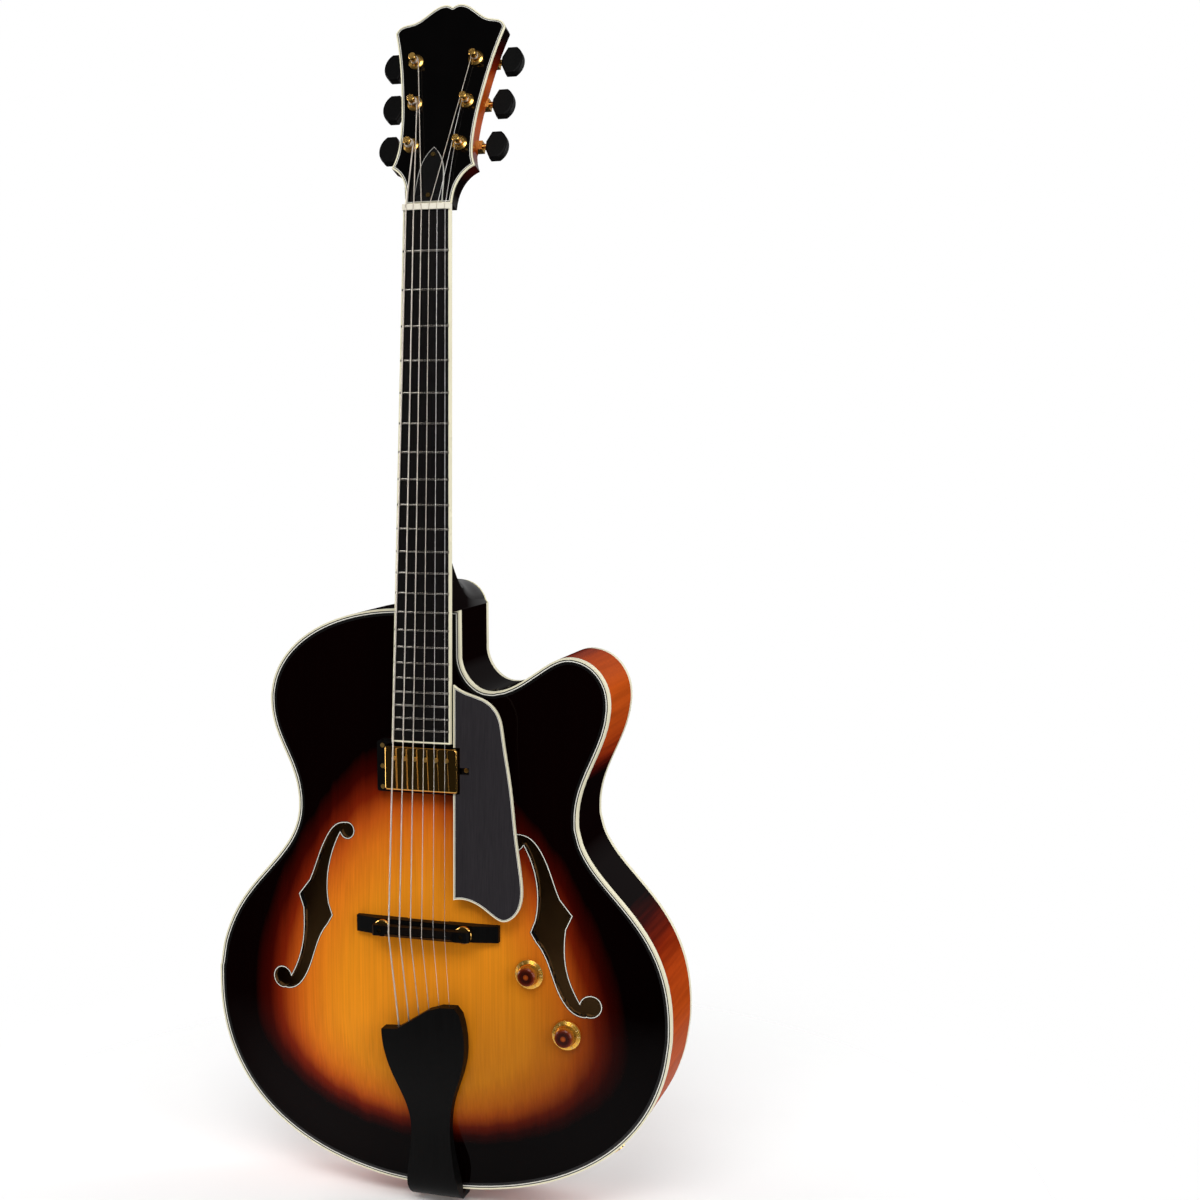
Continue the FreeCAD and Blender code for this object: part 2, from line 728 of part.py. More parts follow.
def box_across(half_x, half_z, z, front_rise, back_rise):
    """A box centred on x = 0 at height z, between two rises over the front edge."""
    return Part.makeBox(2 * half_x, front_rise - back_rise, 2 * half_z,
                        Vector(-half_x, FRONT - front_rise, z - half_z))


def pickup_well(front_rise):
    """The room for the pickup and its legs, from inside the body up to a rise."""
    gap = dim("pickup_clearance")
    depth = -dim("plate_thickness")
    return box_across(dim("pickup_cover_length") / 2 + gap, dim("pickup_cover_width") / 2 + gap, PICKUP_Z,
                      front_rise, depth)


def leg_slots(front_rise):
    """The room for the pickup's two legs."""
    gap = dim("pickup_clearance")
    reach = PICKUP_LEG_REACH + dim("screw_head_radius") + gap
    return box_across(reach, dim("pickup_leg_width") / 2 + gap, PICKUP_Z, front_rise,
                      -dim("plate_thickness"))


def make_plates():
    """The arched top with its holes, the arched back and the bindings; the top's bars are returned."""
    blank = plate_blank(FRONT, -dim("top_arch"))
    whole = f_hole(0.0)
    opening = f_hole(dim("f_hole_binding_width"))
    both = [whole, mirrored(whole)]
    rims = [whole.cut(opening), mirrored(whole.cut(opening))]
    bindings = [solid for rim in rims for solid in blank.common(rim).Solids]
    for front, back in ((FRONT, -SEAT), (SEAT, -FRONT)):
        bindings.append(ring_of(0.0, dim("binding_width"), front, back))
    piece("body_bindings", Part.makeCompound(bindings), BODY)
    over = 2 * dim("top_arch")
    tools = both + [pickup_well(over), leg_slots(over)]
    tools += [rod(x, z, dim("screw_radius"), over, -dim("plate_thickness")) for x, z in RING_SCREWS]
    tools += [rod(x, z, dim("control_bushing_radius"), over, -dim("plate_thickness"))
              for x, z in CONTROLS.values()]
    piece("top_plate", blank.cut(tools), BODY)
    piece("back_plate", plate_blank(-FRONT, dim("back_arch")), BODY)
    bars = []
    inner = arching.face(FRONT + dim("plate_thickness") + PLATE_OVERLAP, -dim("top_arch"))
    under = inner.extrude(Vector(0, dim("tone_bar_depth"), 0))
    wide, long = dim("tone_bar_width"), dim("body_length")
    low, high = long * dim("tone_bar_bottom_share"), long * dim("tone_bar_top_share")
    for side in (-1, 1):
        left = (side * dim("tone_bar_spread") - wide) / 2
        corner = Vector(left, FRONT - dim("rim_depth") / 2, low)
        bar = Part.makeBox(wide, dim("rim_depth"), high - low, corner)
        bars.append(under.common(bar))
    return bars


# Neck

def board_half(z):
    """Half the fingerboard's width at a height over the saddle line."""
    share = (dim("scale_length") - z) / (dim("scale_length") - dim("board_end"))
    return (dim("nut_width") + share * (dim("board_end_width") - dim("nut_width"))) / 2


def board_slab(inset, front, back):
    """A tapered slab of the fingerboard's plan, drawn in at its sides and its end."""
    low = dim("board_end") + inset
    high = dim("scale_length")
    wire = polygon_wire([(-board_half(low) + inset, low), (board_half(low) - inset, low),
                         (board_half(high) - inset, high), (-board_half(high) + inset, high)])
    return slab(wire, front, back)


def crown(rise, low, high):
    """A cylinder about the axis of the fingerboard's crown, standing above the board by the rise."""
    radius = dim("board_radius")
    return Part.makeCylinder(radius + rise, high - low, Vector(0, radius, low))


def fret_place(number):
    """Height of a fret over the saddle line."""
    return dim("scale_length") * 2 ** (-number / 12)


FRET_COUNT = 22


def make_fingerboard():
    """The board, its binding and the frets, in the neck's frame."""
    under = dim("board_thickness")
    low, high = dim("board_end"), dim("scale_length")
    round_top = crown(0.0, low, high)
    wood = board_slab(dim("board_binding"), -1.0, under).common(round_top)
    whole = board_slab(0.0, -1.0, under).common(round_top)
    piece("fingerboard", wood, NECK)
    frets = []
    half = dim("fret_width") / 2
    for number in range(1, FRET_COUNT + 1):
        z = fret_place(number)
        hoop = Part.makeTorus(dim("board_radius"), half, Vector(0, dim("board_radius"), z))
        across = board_half(z) - dim("board_binding") / 2
        reach = Part.makeBox(2 * across, 3 * under, 4 * half, Vector(-across, -under, z - 2 * half))
        frets.append(hoop.common(reach).cut(round_top))
    piece("frets", Part.makeCompound(frets), NECK)
    return whole.cut(wood)


def d_section(half, top, depth, z):
    """Closed wire of the neck's section: a flat top and a round back."""
    left, right, back = Vector(-half, top, z), Vector(half, top, z), Vector(0, top + depth, z)
    return Part.Wire([Part.makeLine(left, right), Part.Arc(right, back, left).toShape()])


def heel_section(y, half, reach):
    """Closed wire of the heel at one depth: flat on the body and round in front."""
    base = dim("body_length")
    side = base + max(reach - 0.7 * half, 1.0)
    a, b = Vector(-half, y, base), Vector(half, y, base)
    c, d = Vector(0.92 * half, y, side), Vector(-0.92 * half, y, side)
    arc = Part.Arc(c, Vector(0, y, base + reach), d).toShape()
    return Part.Wire([Part.makeLine(a, b), Part.makeLine(b, c), arc, Part.makeLine(d, a)])


HEAD_THROAT = ((22.6, 12.0), (25.5, 22.0), (31.5, 31.0))
HEAD_EAR = (39.3, 36.5)
HEAD_FLARE = ((36.0, 46.0), (34.7, 60.0), (35.4, 80.0), (38.6, 106.0), (44.0, 137.0))
HEAD_TIP = (52.5, 170.0)
HEAD_CREST = ((45.5, 177.5), (36.0, 179.5), (26.0, 185.5), (16.0, 193.0), (9.0, 195.7), (0.0, 193.2))


def head_edges():
    """Edges of the headstock's outline in its own frame: straight foot, ears, flared sides and crown."""
    foot = dim("head_start")
    half = dim("nut_width") / 2
    neck_side = ((half, foot),) + HEAD_THROAT + (HEAD_EAR,)
    flare = (HEAD_EAR,) + HEAD_FLARE + (HEAD_TIP,)
    crest = (HEAD_TIP,) + HEAD_CREST
    right = [spline(neck_side), spline(flare), spline(crest)]
    mirror = FreeCAD.Matrix()
    mirror.scale(-1, 1, 1)
    left = [edge.transformGeometry(mirror) for edge in right]
    return right + left + [line((-half, foot), (half, foot))]


def head_wire(inset):
    """The headstock's outline, drawn in by the inset."""
    outline = Part.Wire(Part.__sortEdges__(head_edges()))
    if inset > 0:
        outline = drawn_in(outline, inset)
    return outline


TUNERS = [(side, dim("tuner_%s_reach" % level), dim("tuner_%s_height" % level))
          for side, levels in ((-1, ("low", "mid", "high")), (1, ("high", "mid", "low"))) for level in levels]


def head_bores():
    """Holes for the bushings, through the headstock."""
    long = HEAD_TOTAL + 4
    return [Part.makeCylinder(dim("bushing_radius"), long, Vector(side * reach, -2, height), INTO)
            for side, reach, height in TUNERS]


def nut_blank():
    """The nut's outer shape, in the neck's frame."""
    half = dim("nut_width") / 2
    low = dim("scale_length")
    rise = dim("nut_crown")
    box = Part.makeBox(2 * half, dim("board_thickness") + 2 * rise, dim("nut_thickness"),
                       Vector(-half, -2 * rise, low))
    return box.common(crown(rise, low, low + dim("nut_thickness")))


def make_neck(board_edge):
    """The neck's wood in one piece, the heel cap, the truss rod and the headstock's veneer and bindings."""
    under = dim("board_thickness")
    joint = dim("body_length") - SADDLE_Z
    nut_end = dim("scale_length") + dim("nut_thickness")
    half_joint = board_half(joint)
    half_nut = dim("nut_width") / 2
    at_heel = d_section(half_joint, under, dim("neck_depth_at_heel"), joint - dim("heel_cap_thickness"))
    at_nut = d_section(half_nut, under, dim("neck_depth_at_nut"), nut_end)
    half_throat, throat_height = HEAD_THROAT[1]
    in_head = d_section(half_throat, dim("overlay_thickness"), dim("head_thickness"), throat_height)
    shaft = Part.makeLoft([at_heel, at_nut], True, True)
    throat = Part.makeLoft([at_nut, moved(in_head, HEAD_IN_NECK)], True, True)
    shaft = moved(shaft.fuse(throat), NECK_IN_BODY)
    heel_back = -FRONT - dim("heel_cap_thickness")
    wide = half_joint - 1.0
    narrow = dim("heel_width") / 2
    reach = dim("heel_reach")
    depth_top = FRONT - (dim("board_rise") - joint * math.tan(math.radians(dim("neck_pitch"))) - under) + 4
    stations = ((0.0, wide, 3.2 * reach), (0.2, wide, 2.2 * reach), (0.42, wide, 1.45 * reach),
                (0.7, (wide + narrow) / 2, 1.12 * reach), (1.0, narrow, reach))
    sections = [heel_section(depth_top + share * (heel_back - depth_top), half, tip)
                for share, half, tip in stations]
    heel = Part.makeLoft(sections, True, False)
    deep = dim("rim_depth")
    above = Part.makeBox(4 * wide, deep, nut_end - joint, Vector(-2 * wide, under - deep, joint))
    below = Part.makeBox(4 * wide, 2 * deep, joint + SADDLE_Z, Vector(-2 * wide, -deep, 0))
    tongue = board_slab(dim("tongue_inset"), under, under + dim("tongue_thickness"))
    tongue = tongue.common(Part.makeBox(4 * wide, 4 * under, joint + reach - dim("board_end"),
                                        Vector(-2 * wide, 0, dim("board_end"))))
    head = slab(head_wire(0.0), dim("overlay_thickness"), HEAD_TOTAL).cut(head_bores())
    rod_room = dim("truss_rod_radius") + dim("truss_rod_clearance")
    rod_low = dim("truss_rod_bottom")
    channel = Part.makeBox(2 * rod_room, 2 * rod_room, dim("truss_rod_top") - rod_low,
                           Vector(-rod_room, under, rod_low))
    wood = shaft.fuse(heel.cut(moved(above, NECK_IN_BODY))).cut(below)
    wood = wood.fuse([moved(tongue, NECK_IN_BODY), moved(head, HEAD_IN_BODY)])
    wood = wood.cut([moved(channel, NECK_IN_BODY), moved(nut_blank(), NECK_IN_BODY)])
    wood = wood.cut([moved(tool, HEAD_IN_BODY) for tool in head_bores() + head_screw_holes()])
    piece("neck", wood.removeSplitter(), BODY)
    cap = Part.Face(heel_section(heel_back, narrow, reach)).extrude(Vector(0, dim("heel_cap_thickness"), 0))
    piece("heel_cap", cap, BODY)
    rod_place = NECK.multiply(at(0, under + rod_room, rod_low))
    rod_length = "dims.truss_rod_top - dims.truss_rod_bottom"
    bar = cylinder("truss_rod", "dims.truss_rod_radius", rod_length, rod_place)
    keep("truss_rod", bar, rod_place)
    face = slab(head_wire(dim("head_binding")), 0.0, dim("overlay_thickness"))
    rim = slab(head_wire(0.0), 0.0, dim("overlay_thickness")).cut(face)
    piece("headstock_overlay", face.cut(head_bores() + head_screw_holes()), HEAD)
    edges = [moved(board_edge, NECK_IN_BODY), moved(rim, HEAD_IN_BODY)]
    piece("neck_bindings", Part.makeCompound([solid for edge in edges for solid in edge.Solids]), BODY)


TRUSS_COVER_SIDE = ((13.4, 2.0), (12.6, 20.0), (9.4, 40.0), (0.0, 54.4))
TRUSS_COVER_SCREWS = (8.0, 47.0)


def make_truss_cover():
    """The spade-shaped cover over the truss rod's end, in front of the headstock."""
    left_side = tuple((-x, z) for x, z in reversed(TRUSS_COVER_SIDE))
    foot = line(left_side[-1], TRUSS_COVER_SIDE[0])
    edge = Part.Wire([spline(TRUSS_COVER_SIDE), spline(left_side), foot])
    cover = slab(edge, -dim("truss_cover_thickness"), 0.0)
    piece("truss_rod_cover", cover.cut(head_screw_holes()), HEAD)


# Screws

def screw(point, direction, length):
    """A wood screw whose head lies on a surface at the point and whose shank runs along the direction."""
    shank = Part.makeCylinder(dim("screw_radius"), length, point, direction)
    head = Part.makeCylinder(dim("screw_head_radius"), dim("screw_head_length"), point, -direction)
    return shank.fuse(head).removeSplitter()


def screw_hole(point, direction, length):
    """The hole that a screw's shank fills."""
    return Part.makeCylinder(dim("screw_radius"), length, point, direction)


COVER_SCREW_LENGTH = dim("truss_cover_thickness") + dim("screw_length") / 2
TAB_SCREW_LENGTH = dim("tuner_tab_thickness") + dim("screw_length") / 2
TAB_SCREW_DROP = dim("tuner_tab_reach") - dim("tuner_tab_width") / 2


def cover_screw_points():
    """Heads of the truss rod cover's screws, in the headstock's frame."""
    return [Vector(0, -dim("truss_cover_thickness"), z) for z in TRUSS_COVER_SCREWS]


def tab_screw_points():
    """Heads of the tuners' screws behind the headstock, in its frame."""
    return [Vector(side * reach, HEAD_TOTAL + dim("tuner_tab_thickness"), height - TAB_SCREW_DROP)
            for side, reach, height in TUNERS]


def head_screw_holes():
    """All screw holes in the headstock, in its frame."""
    holes = [screw_hole(point, INTO, COVER_SCREW_LENGTH) for point in cover_screw_points()]
    return holes + [screw_hole(point, -INTO, TAB_SCREW_LENGTH) for point in tab_screw_points()]


def make_screws():
    """Every wood screw of the instrument, in the body's frame."""
    screws = [moved(screw(point, INTO, COVER_SCREW_LENGTH), HEAD_IN_BODY) for point in cover_screw_points()]
    screws += [moved(screw(point, -INTO, TAB_SCREW_LENGTH), HEAD_IN_BODY) for point in tab_screw_points()]
    seat = FRONT - dim("pickup_ring_rise") + dim("screw_head_length")
    for x, z in RING_SCREWS:
        length = dim("pickup_ring_rise") - top_rise(x, z) + dim("plate_thickness") / 2
        screws.append(screw(Vector(x, seat, z), INTO, length))
    for x, z in HEIGHT_SCREWS:
        screws.append(screw(Vector(x, seat, z), INTO, dim("pickup_cover_depth")))
    piece("wood_screws", Part.makeCompound(screws), BODY)


# Tuning machines, each in a frame with +X out towards its button and the headstock's face at y = 0

WORM_OFFSET = dim("gear_radius") + dim("worm_radius") + dim("gear_clearance")
WORM_DEPTH = HEAD_TOTAL + dim("gear_gap") + dim("gear_length") / 2


def housing_template():
    """The housing of one treble machine behind the headstock, hollow for the gear and the worm."""
    back = HEAD_TOTAL
    depth = dim("housing_depth")
    centre = Vector(0, back, WORM_OFFSET / 2)
    shell = Part.makeCylinder(dim("housing_radius"), depth, centre, INTO)
    lid = Part.makeCylinder(dim("housing_cover_radius"), depth + dim("housing_cover_depth"), centre, INTO)
    arm_half = dim("worm_radius") + dim("worm_wall")
    arm = Part.makeBox(dim("housing_reach"), depth, 2 * arm_half, Vector(0, back, WORM_OFFSET - arm_half))
    tab_half, tab_thick = dim("tuner_tab_width") / 2, dim("tuner_tab_thickness")
    tab = Part.makeBox(2 * tab_half, tab_thick, TAB_SCREW_DROP, Vector(-tab_half, back, -TAB_SCREW_DROP))
    tab_end = Part.makeCylinder(tab_half, tab_thick, Vector(0, back, -TAB_SCREW_DROP), INTO)
    solid = shell.fuse([arm, lid, tab, tab_end])
    gap = dim("gear_clearance")
    gear_room = Part.makeCylinder(dim("gear_radius") + gap, dim("gear_gap") + dim("gear_length") + gap,
                                  Vector(0, back, 0), INTO)
    worm_start = -dim("worm_length") / 2 - gap
    worm_room = Part.makeCylinder(dim("worm_radius") + gap, -2 * worm_start,
                                  Vector(worm_start, WORM_DEPTH, WORM_OFFSET), OUT)
    shaft_start = worm_start - dim("worm_shaft_tail")
    shaft_room = Part.makeCylinder(dim("worm_shaft_radius") + dim("running_clearance"),
                                   dim("housing_reach") - 2 * shaft_start,
                                   Vector(shaft_start, WORM_DEPTH, WORM_OFFSET), OUT)
    hole = screw_hole(Vector(0, back + tab_thick, -TAB_SCREW_DROP), -INTO, TAB_SCREW_LENGTH)
    return solid.cut([gear_room, worm_room, shaft_room, hole]).removeSplitter()


HEAD_BACK = "-dims.overlay_thickness - dims.head_thickness"
BUSHING_PROFILE = (("dims.post_radius + dims.running_clearance", HEAD_BACK),
                   ("dims.bushing_radius", HEAD_BACK),
                   ("dims.bushing_radius", "0"),
                   ("dims.bushing_flange_radius", "0"),
                   ("dims.bushing_flange_radius", "dims.bushing_flange_length * 0.6"),
                   ("dims.bushing_radius", "dims.bushing_flange_length"),
                   ("dims.post_radius + dims.running_clearance", "dims.bushing_flange_length"))
GEAR_FRONT = HEAD_BACK + " - dims.gear_gap"
POST_SEAT = "dims.bushing_flange_length + dims.gear_clearance"
POST_CAP = POST_SEAT + " + dims.winding_room"
POST_TOP = POST_CAP + " + dims.post_cap_length"
POST_PROFILE = (("0", GEAR_FRONT + " - dims.gear_length"),
                ("dims.gear_radius", GEAR_FRONT + " - dims.gear_length"),
                ("dims.gear_radius", GEAR_FRONT),
                ("dims.post_radius", GEAR_FRONT),
                ("dims.post_radius", POST_SEAT),
                ("dims.post_waist_radius", POST_SEAT + " + dims.gear_clearance"),
                ("dims.post_waist_radius", POST_CAP),
                ("dims.post_cap_radius", POST_CAP + " + dims.gear_clearance"),
                ("dims.post_cap_radius", POST_TOP + " - dims.gear_clearance"),
                ("dims.post_radius", POST_TOP),
                ("0", POST_TOP))
COLLAR_START = "dims.housing_reach + dims.gear_clearance"
SHAFT_PROFILE = (("0", "-dims.worm_length / 2 - dims.worm_shaft_tail"),
                 ("dims.worm_shaft_radius", "-dims.worm_length / 2 - dims.worm_shaft_tail"),
                 ("dims.worm_shaft_radius", "-dims.worm_length / 2"),
                 ("dims.worm_radius", "-dims.worm_length / 2"),
                 ("dims.worm_radius", "dims.worm_length / 2"),
                 ("dims.worm_shaft_radius", "dims.worm_length / 2"),
                 ("dims.worm_shaft_radius", COLLAR_START),
                 ("dims.tuner_collar_radius", COLLAR_START),
                 ("dims.tuner_collar_radius", COLLAR_START + " + dims.tuner_collar_length"),
                 ("dims.worm_shaft_radius", COLLAR_START + " + dims.tuner_collar_length"),
                 ("dims.worm_shaft_radius",
                  COLLAR_START + " + dims.tuner_collar_length + dims.tuner_button_bore_depth"),
                 ("0", COLLAR_START + " + dims.tuner_collar_length + dims.tuner_button_bore_depth"))


BUTTON_EDGE = 0.9


def button_template():
    """One treble button: a flat plate with cut inner corners and a round outer edge, bored for its shaft."""
    start = dim("housing_reach") + dim("gear_clearance") + dim("tuner_collar_length")
    length, half = dim("tuner_button_length"), dim("tuner_button_width") / 2
    throat = dim("tuner_collar_radius") + BUTTON_EDGE
    slant, straight = start + 0.24 * length, start + 0.66 * length
    low = [(start, -throat), (slant, -half), (straight, -half)]
    high = [(x, -z) for x, z in reversed(low)]
    outer = Part.Arc(Vector(straight, 0, -half), Vector(start + length, 0, 0), Vector(straight, 0, half))
    sides = [line(a, b) for a, b in zip(low, low[1:])] + [outer.toShape()]
    sides += [line(a, b) for a, b in zip(high, high[1:] + low[:1])]
    thick = dim("tuner_button_thickness") / 2
    solid = slab(Part.Wire(sides), -thick, thick)
    rims = [edge for edge in solid.Edges if abs(edge.CenterOfMass.y) > thick - BUTTON_EDGE]
    solid = solid.makeFillet(2 * BUTTON_EDGE, rims)
    bore = Part.makeCylinder(dim("worm_shaft_radius"), dim("tuner_button_bore_depth"), Vector(start, 0, 0),
                             Vector(1, 0, 0))
    return moved(solid.cut(bore), at(0, WORM_DEPTH, WORM_OFFSET))


def make_tuners():
    """Six machines: housing, bushing, string post, worm shaft and button."""
    housing = housing_template()
    button = button_template()
    housings = []
    bushings = []
    for number, (side, reach, height) in enumerate(TUNERS, start=1):
        frame = at(side * reach, 0, height)
        handed = housing if side > 0 else mirrored(housing)
        housings.append(moved(handed, frame))
        bushing = turned("bushing_%d" % number, BUSHING_PROFILE, at(side * reach, 0, height, FORWARD))
        bushings.append(bushing)
        post = turned("string_post_%d" % number, POST_PROFILE, HEAD)
        keep("string_post_%d" % number, post, HEAD.multiply(at(side * reach, 0, height, FORWARD)))
        out = Rotation(Vector(0, 0, 1), Vector(side, 0, 0))
        shaft = turned("worm_shaft_%d" % number, SHAFT_PROFILE, HEAD)
        keep("worm_shaft_%d" % number, shaft,
             HEAD.multiply(at(side * reach, WORM_DEPTH, height + WORM_OFFSET, out)))
        handed = button if side > 0 else mirrored(button)
        piece("tuner_button_%d" % number, moved(handed, frame), HEAD)
    piece("tuner_housings", Part.makeCompound(housings), HEAD)
    group("tuner_bushings", bushings, HEAD)


# Strings

STRING_COUNT = 6
WOUND_COUNT = 4
WINDING_TURNS = 2


def spread(total, index):
    """Place across the neck of one of the strings, counted from 0 at the lowest."""
    return total * (index / (STRING_COUNT - 1) - 0.5)


def string_radius(index):
    """Half the diameter of a string."""
    return dim("string_%d_diameter" % (index + 1)) / 2


def over_crown(x, rise, z):
    """A point at a rise over the fingerboard's crown, from the neck's frame to the body's."""
    reach = dim("board_radius") + rise
    depth = dim("board_radius") - math.sqrt(reach * reach - x * x)
    return NECK_IN_BODY.multVec(Vector(x, depth, z))


def tail_edge(x):
    """Height of the tailpiece's upper edge at a distance across, over the tail."""
    for (x1, z1), (x2, z2) in zip(TAILPIECE_EDGE, TAILPIECE_EDGE[1:]):
        if x1 <= x <= x2:
            return dim("tailpiece_length") * (z1 + (x - x1) * (z2 - z1) / (x2 - x1))
    raise ValueError("outside the tailpiece")


def string_corners(index):
    """Anchor in the tailpiece, bend on the saddle and bend on the nut of one string."""
    radius = string_radius(index)
    at_saddle, at_nut = spread(dim("saddle_string_spread"), index), spread(dim("nut_string_spread"), index)
    saddle = over_crown(at_saddle, dim("string_rise_at_saddle") + radius, -dim("saddle_compensation"))
    nut_z = dim("scale_length") + dim("nut_thickness") / 2
    nut = over_crown(at_nut, dim("string_rise_at_nut") + radius, nut_z)
    x = spread(dim("tailpiece_string_spread"), index)
    entry = Vector(x, FRONT - dim("tailpiece_string_rise"), tail_edge(x))
    into = (entry - saddle).normalize()
    return entry + into * dim("string_hole_depth"), saddle, nut


def arc_edge(start, tangent, finish):
    """An arc that leaves the start along the tangent and ends at the finish."""
    chord = finish - start
    along = Vector(chord).normalize()
    sideways = tangent - along * tangent.dot(along)
    if sideways.Length < 1e-6:
        return Part.makeLine(start, finish)
    angle = math.acos(max(-1.0, min(1.0, tangent.dot(along))))
    middle = (start + finish) * 0.5 + sideways.normalize() * (chord.Length / 2 * math.tan(angle / 2))
    return Part.Arc(start, middle, finish).toShape()


def biarc(start, leave, finish, arrive):
    """Two arcs that meet smoothly and keep the tangents at both ends."""
    gap = finish - start
    both = leave + arrive
    spare = 1 - leave.dot(arrive)
    if spare < 1e-9:
        reach = gap.dot(gap) / (4 * gap.dot(arrive))
    else:
        reach = (math.sqrt(gap.dot(both) ** 2 + 2 * spare * gap.dot(gap)) - gap.dot(both)) / (2 * spare)
    joint = (start + leave * reach + finish - arrive * reach) * 0.5
    first = arc_edge(start, leave, joint)
    second = arc_edge(finish, -arrive, joint)
    return [first, second]


def winding(index):
    """Points and tangents of a string's turns round its post, from the nut's side up, in the body's frame."""
    side, reach, height = TUNERS[index]
    radius = string_radius(index)
    turn_radius = dim("post_waist_radius") + dim("winding_clearance") + radius
    nut = HEAD_IN_BODY.inverse().multVec(string_corners(index)[2])
    away = Vector(side * nut.x - reach, 0, height - nut.z)
    heading = math.atan2(away.z, away.x) - math.asin(turn_radius / away.Length)
    start_angle = heading - math.pi / 2
    climb = (2 * radius + dim("winding_gap")) / (2 * math.pi)
    front = dim("bushing_flange_length") + 2 * dim("gear_clearance") + dim("winding_gap") + radius
    stations = []
    for quarter in range(4 * WINDING_TURNS + 1):
        angle = start_angle + quarter * math.pi / 2
        rise = front + climb * quarter * math.pi / 2
        spot = Vector(-reach + turn_radius * math.cos(angle), -rise, height + turn_radius * math.sin(angle))
        run = Vector(-turn_radius * math.sin(angle), -climb, turn_radius * math.cos(angle)).normalize()
        if side > 0:
            spot.x, run.x = -spot.x, -run.x
        stations.append((HEAD_IN_BODY.multVec(spot), HEAD_IN_BODY.Rotation.multVec(run)))
    return stations


def corner_round(before, corner, after):
    """Ends and tangents of the bend of a string at a corner."""
    arrive = (corner - before).normalize()
    leave = (after - corner).normalize()
    turn = math.acos(max(-1.0, min(1.0, arrive.dot(leave))))
    reach = dim("string_bend_radius") * math.tan(turn / 2)
    return corner - arrive * reach, arrive, corner + leave * reach, leave


def string_path(index):
    """Edges of one string from the tailpiece over the saddle and the nut onto its post."""
    anchor, saddle, nut = string_corners(index)
    turns = winding(index)
    first = corner_round(anchor, saddle, nut)
    second = corner_round(saddle, nut, turns[0][0])
    run_in = turns[0][0] - second[3] * dim("winding_run_in")
    edges = [Part.makeLine(anchor, first[0])] + biarc(*first)
    edges += [Part.makeLine(first[2], second[0])] + biarc(*second)
    edges += [Part.makeLine(second[2], run_in)] + biarc(run_in, second[3], *turns[0])
    for start, finish in zip(turns, turns[1:]):
        edges += biarc(*start, *finish)
    return edges


def string_solid(index):
    """One string as an unbroken round tube along its whole path."""
    edges = string_path(index)
    start = edges[0].valueAt(edges[0].FirstParameter)
    along = edges[0].tangentAt(edges[0].FirstParameter)
    section = Part.Wire(Part.makeCircle(string_radius(index), start, along))
    return Part.Wire(Part.__sortEdges__(edges)).makePipeShell([section], True, False)


def nut_slot(index):
    """The slot of one string over the nut: a groove along each of its two directions, open to the front."""
    _, saddle, nut = string_corners(index)
    post = winding(index)[0][0]
    radius = string_radius(index) + dim("running_clearance")
    ahead = NECK_IN_BODY.Rotation.multVec(Vector(0, -1, 0))
    middle = nut - ahead * dim("nut_slot_clearance")
    long = dim("nut_thickness")
    grooves = []
    for away in ((saddle - nut).normalize(), (post - nut).normalize()):
        aside = away.cross(ahead).normalize()
        upward = aside.cross(away)
        low = middle - away * radius
        left, right, floor = low - aside * radius, low + aside * radius, low - upward * radius
        high_left, high_right = left + upward * long, right + upward * long
        section = Part.Wire([Part.Arc(left, floor, right).toShape(), Part.makeLine(right, high_right),
                             Part.makeLine(high_right, high_left), Part.makeLine(high_left, left)])
        grooves.append(Part.Face(section).extrude(away * long))
    return grooves


def least_turn_gap(index):
    """Least free gap between one turn of a string and the next, measured on points."""
    per_edge = 12
    points = []
    for edge in string_path(index)[-8 * WINDING_TURNS:]:
        points += edge.discretize(per_edge)
    one_turn_less = 5 * per_edge
    least = min((a - b).Length for k, a in enumerate(points) for b in points[k + one_turn_less:])
    return least - 2 * string_radius(index)


def make_strings():
    """Four wound and two plain strings, and the nut whose slots they lie in."""
    solids = [string_solid(index) for index in range(STRING_COUNT)]
    piece("wound_strings", Part.makeCompound(solids[:WOUND_COUNT]), BODY)
    piece("plain_strings", Part.makeCompound(solids[WOUND_COUNT:]), BODY)
    print("least gap between turns", ["%.2f" % least_turn_gap(index) for index in range(STRING_COUNT)])
    nut = moved(nut_blank(), NECK_IN_BODY)
    for index in range(STRING_COUNT):
        nut = nut.cut(nut_slot(index))
    piece("nut", nut, BODY)


# Bridge

BRIDGE_Z = SADDLE_Z - dim("saddle_compensation")
WHEEL_BOTTOM = dim("bridge_rise") + dim("thumbwheel_gap")
WHEEL_TOP = WHEEL_BOTTOM + dim("thumbwheel_thickness")


def front_slab(points, low, high):
    """A solid of a front view, given as (x, rise over the front edge) points, between two heights."""
    corners = [Vector(x, FRONT - rise, low) for x, rise in points]
    face = Part.Face(Part.makePolygon(corners + corners[:1]))
    return face.extrude(Vector(0, 0, high - low))


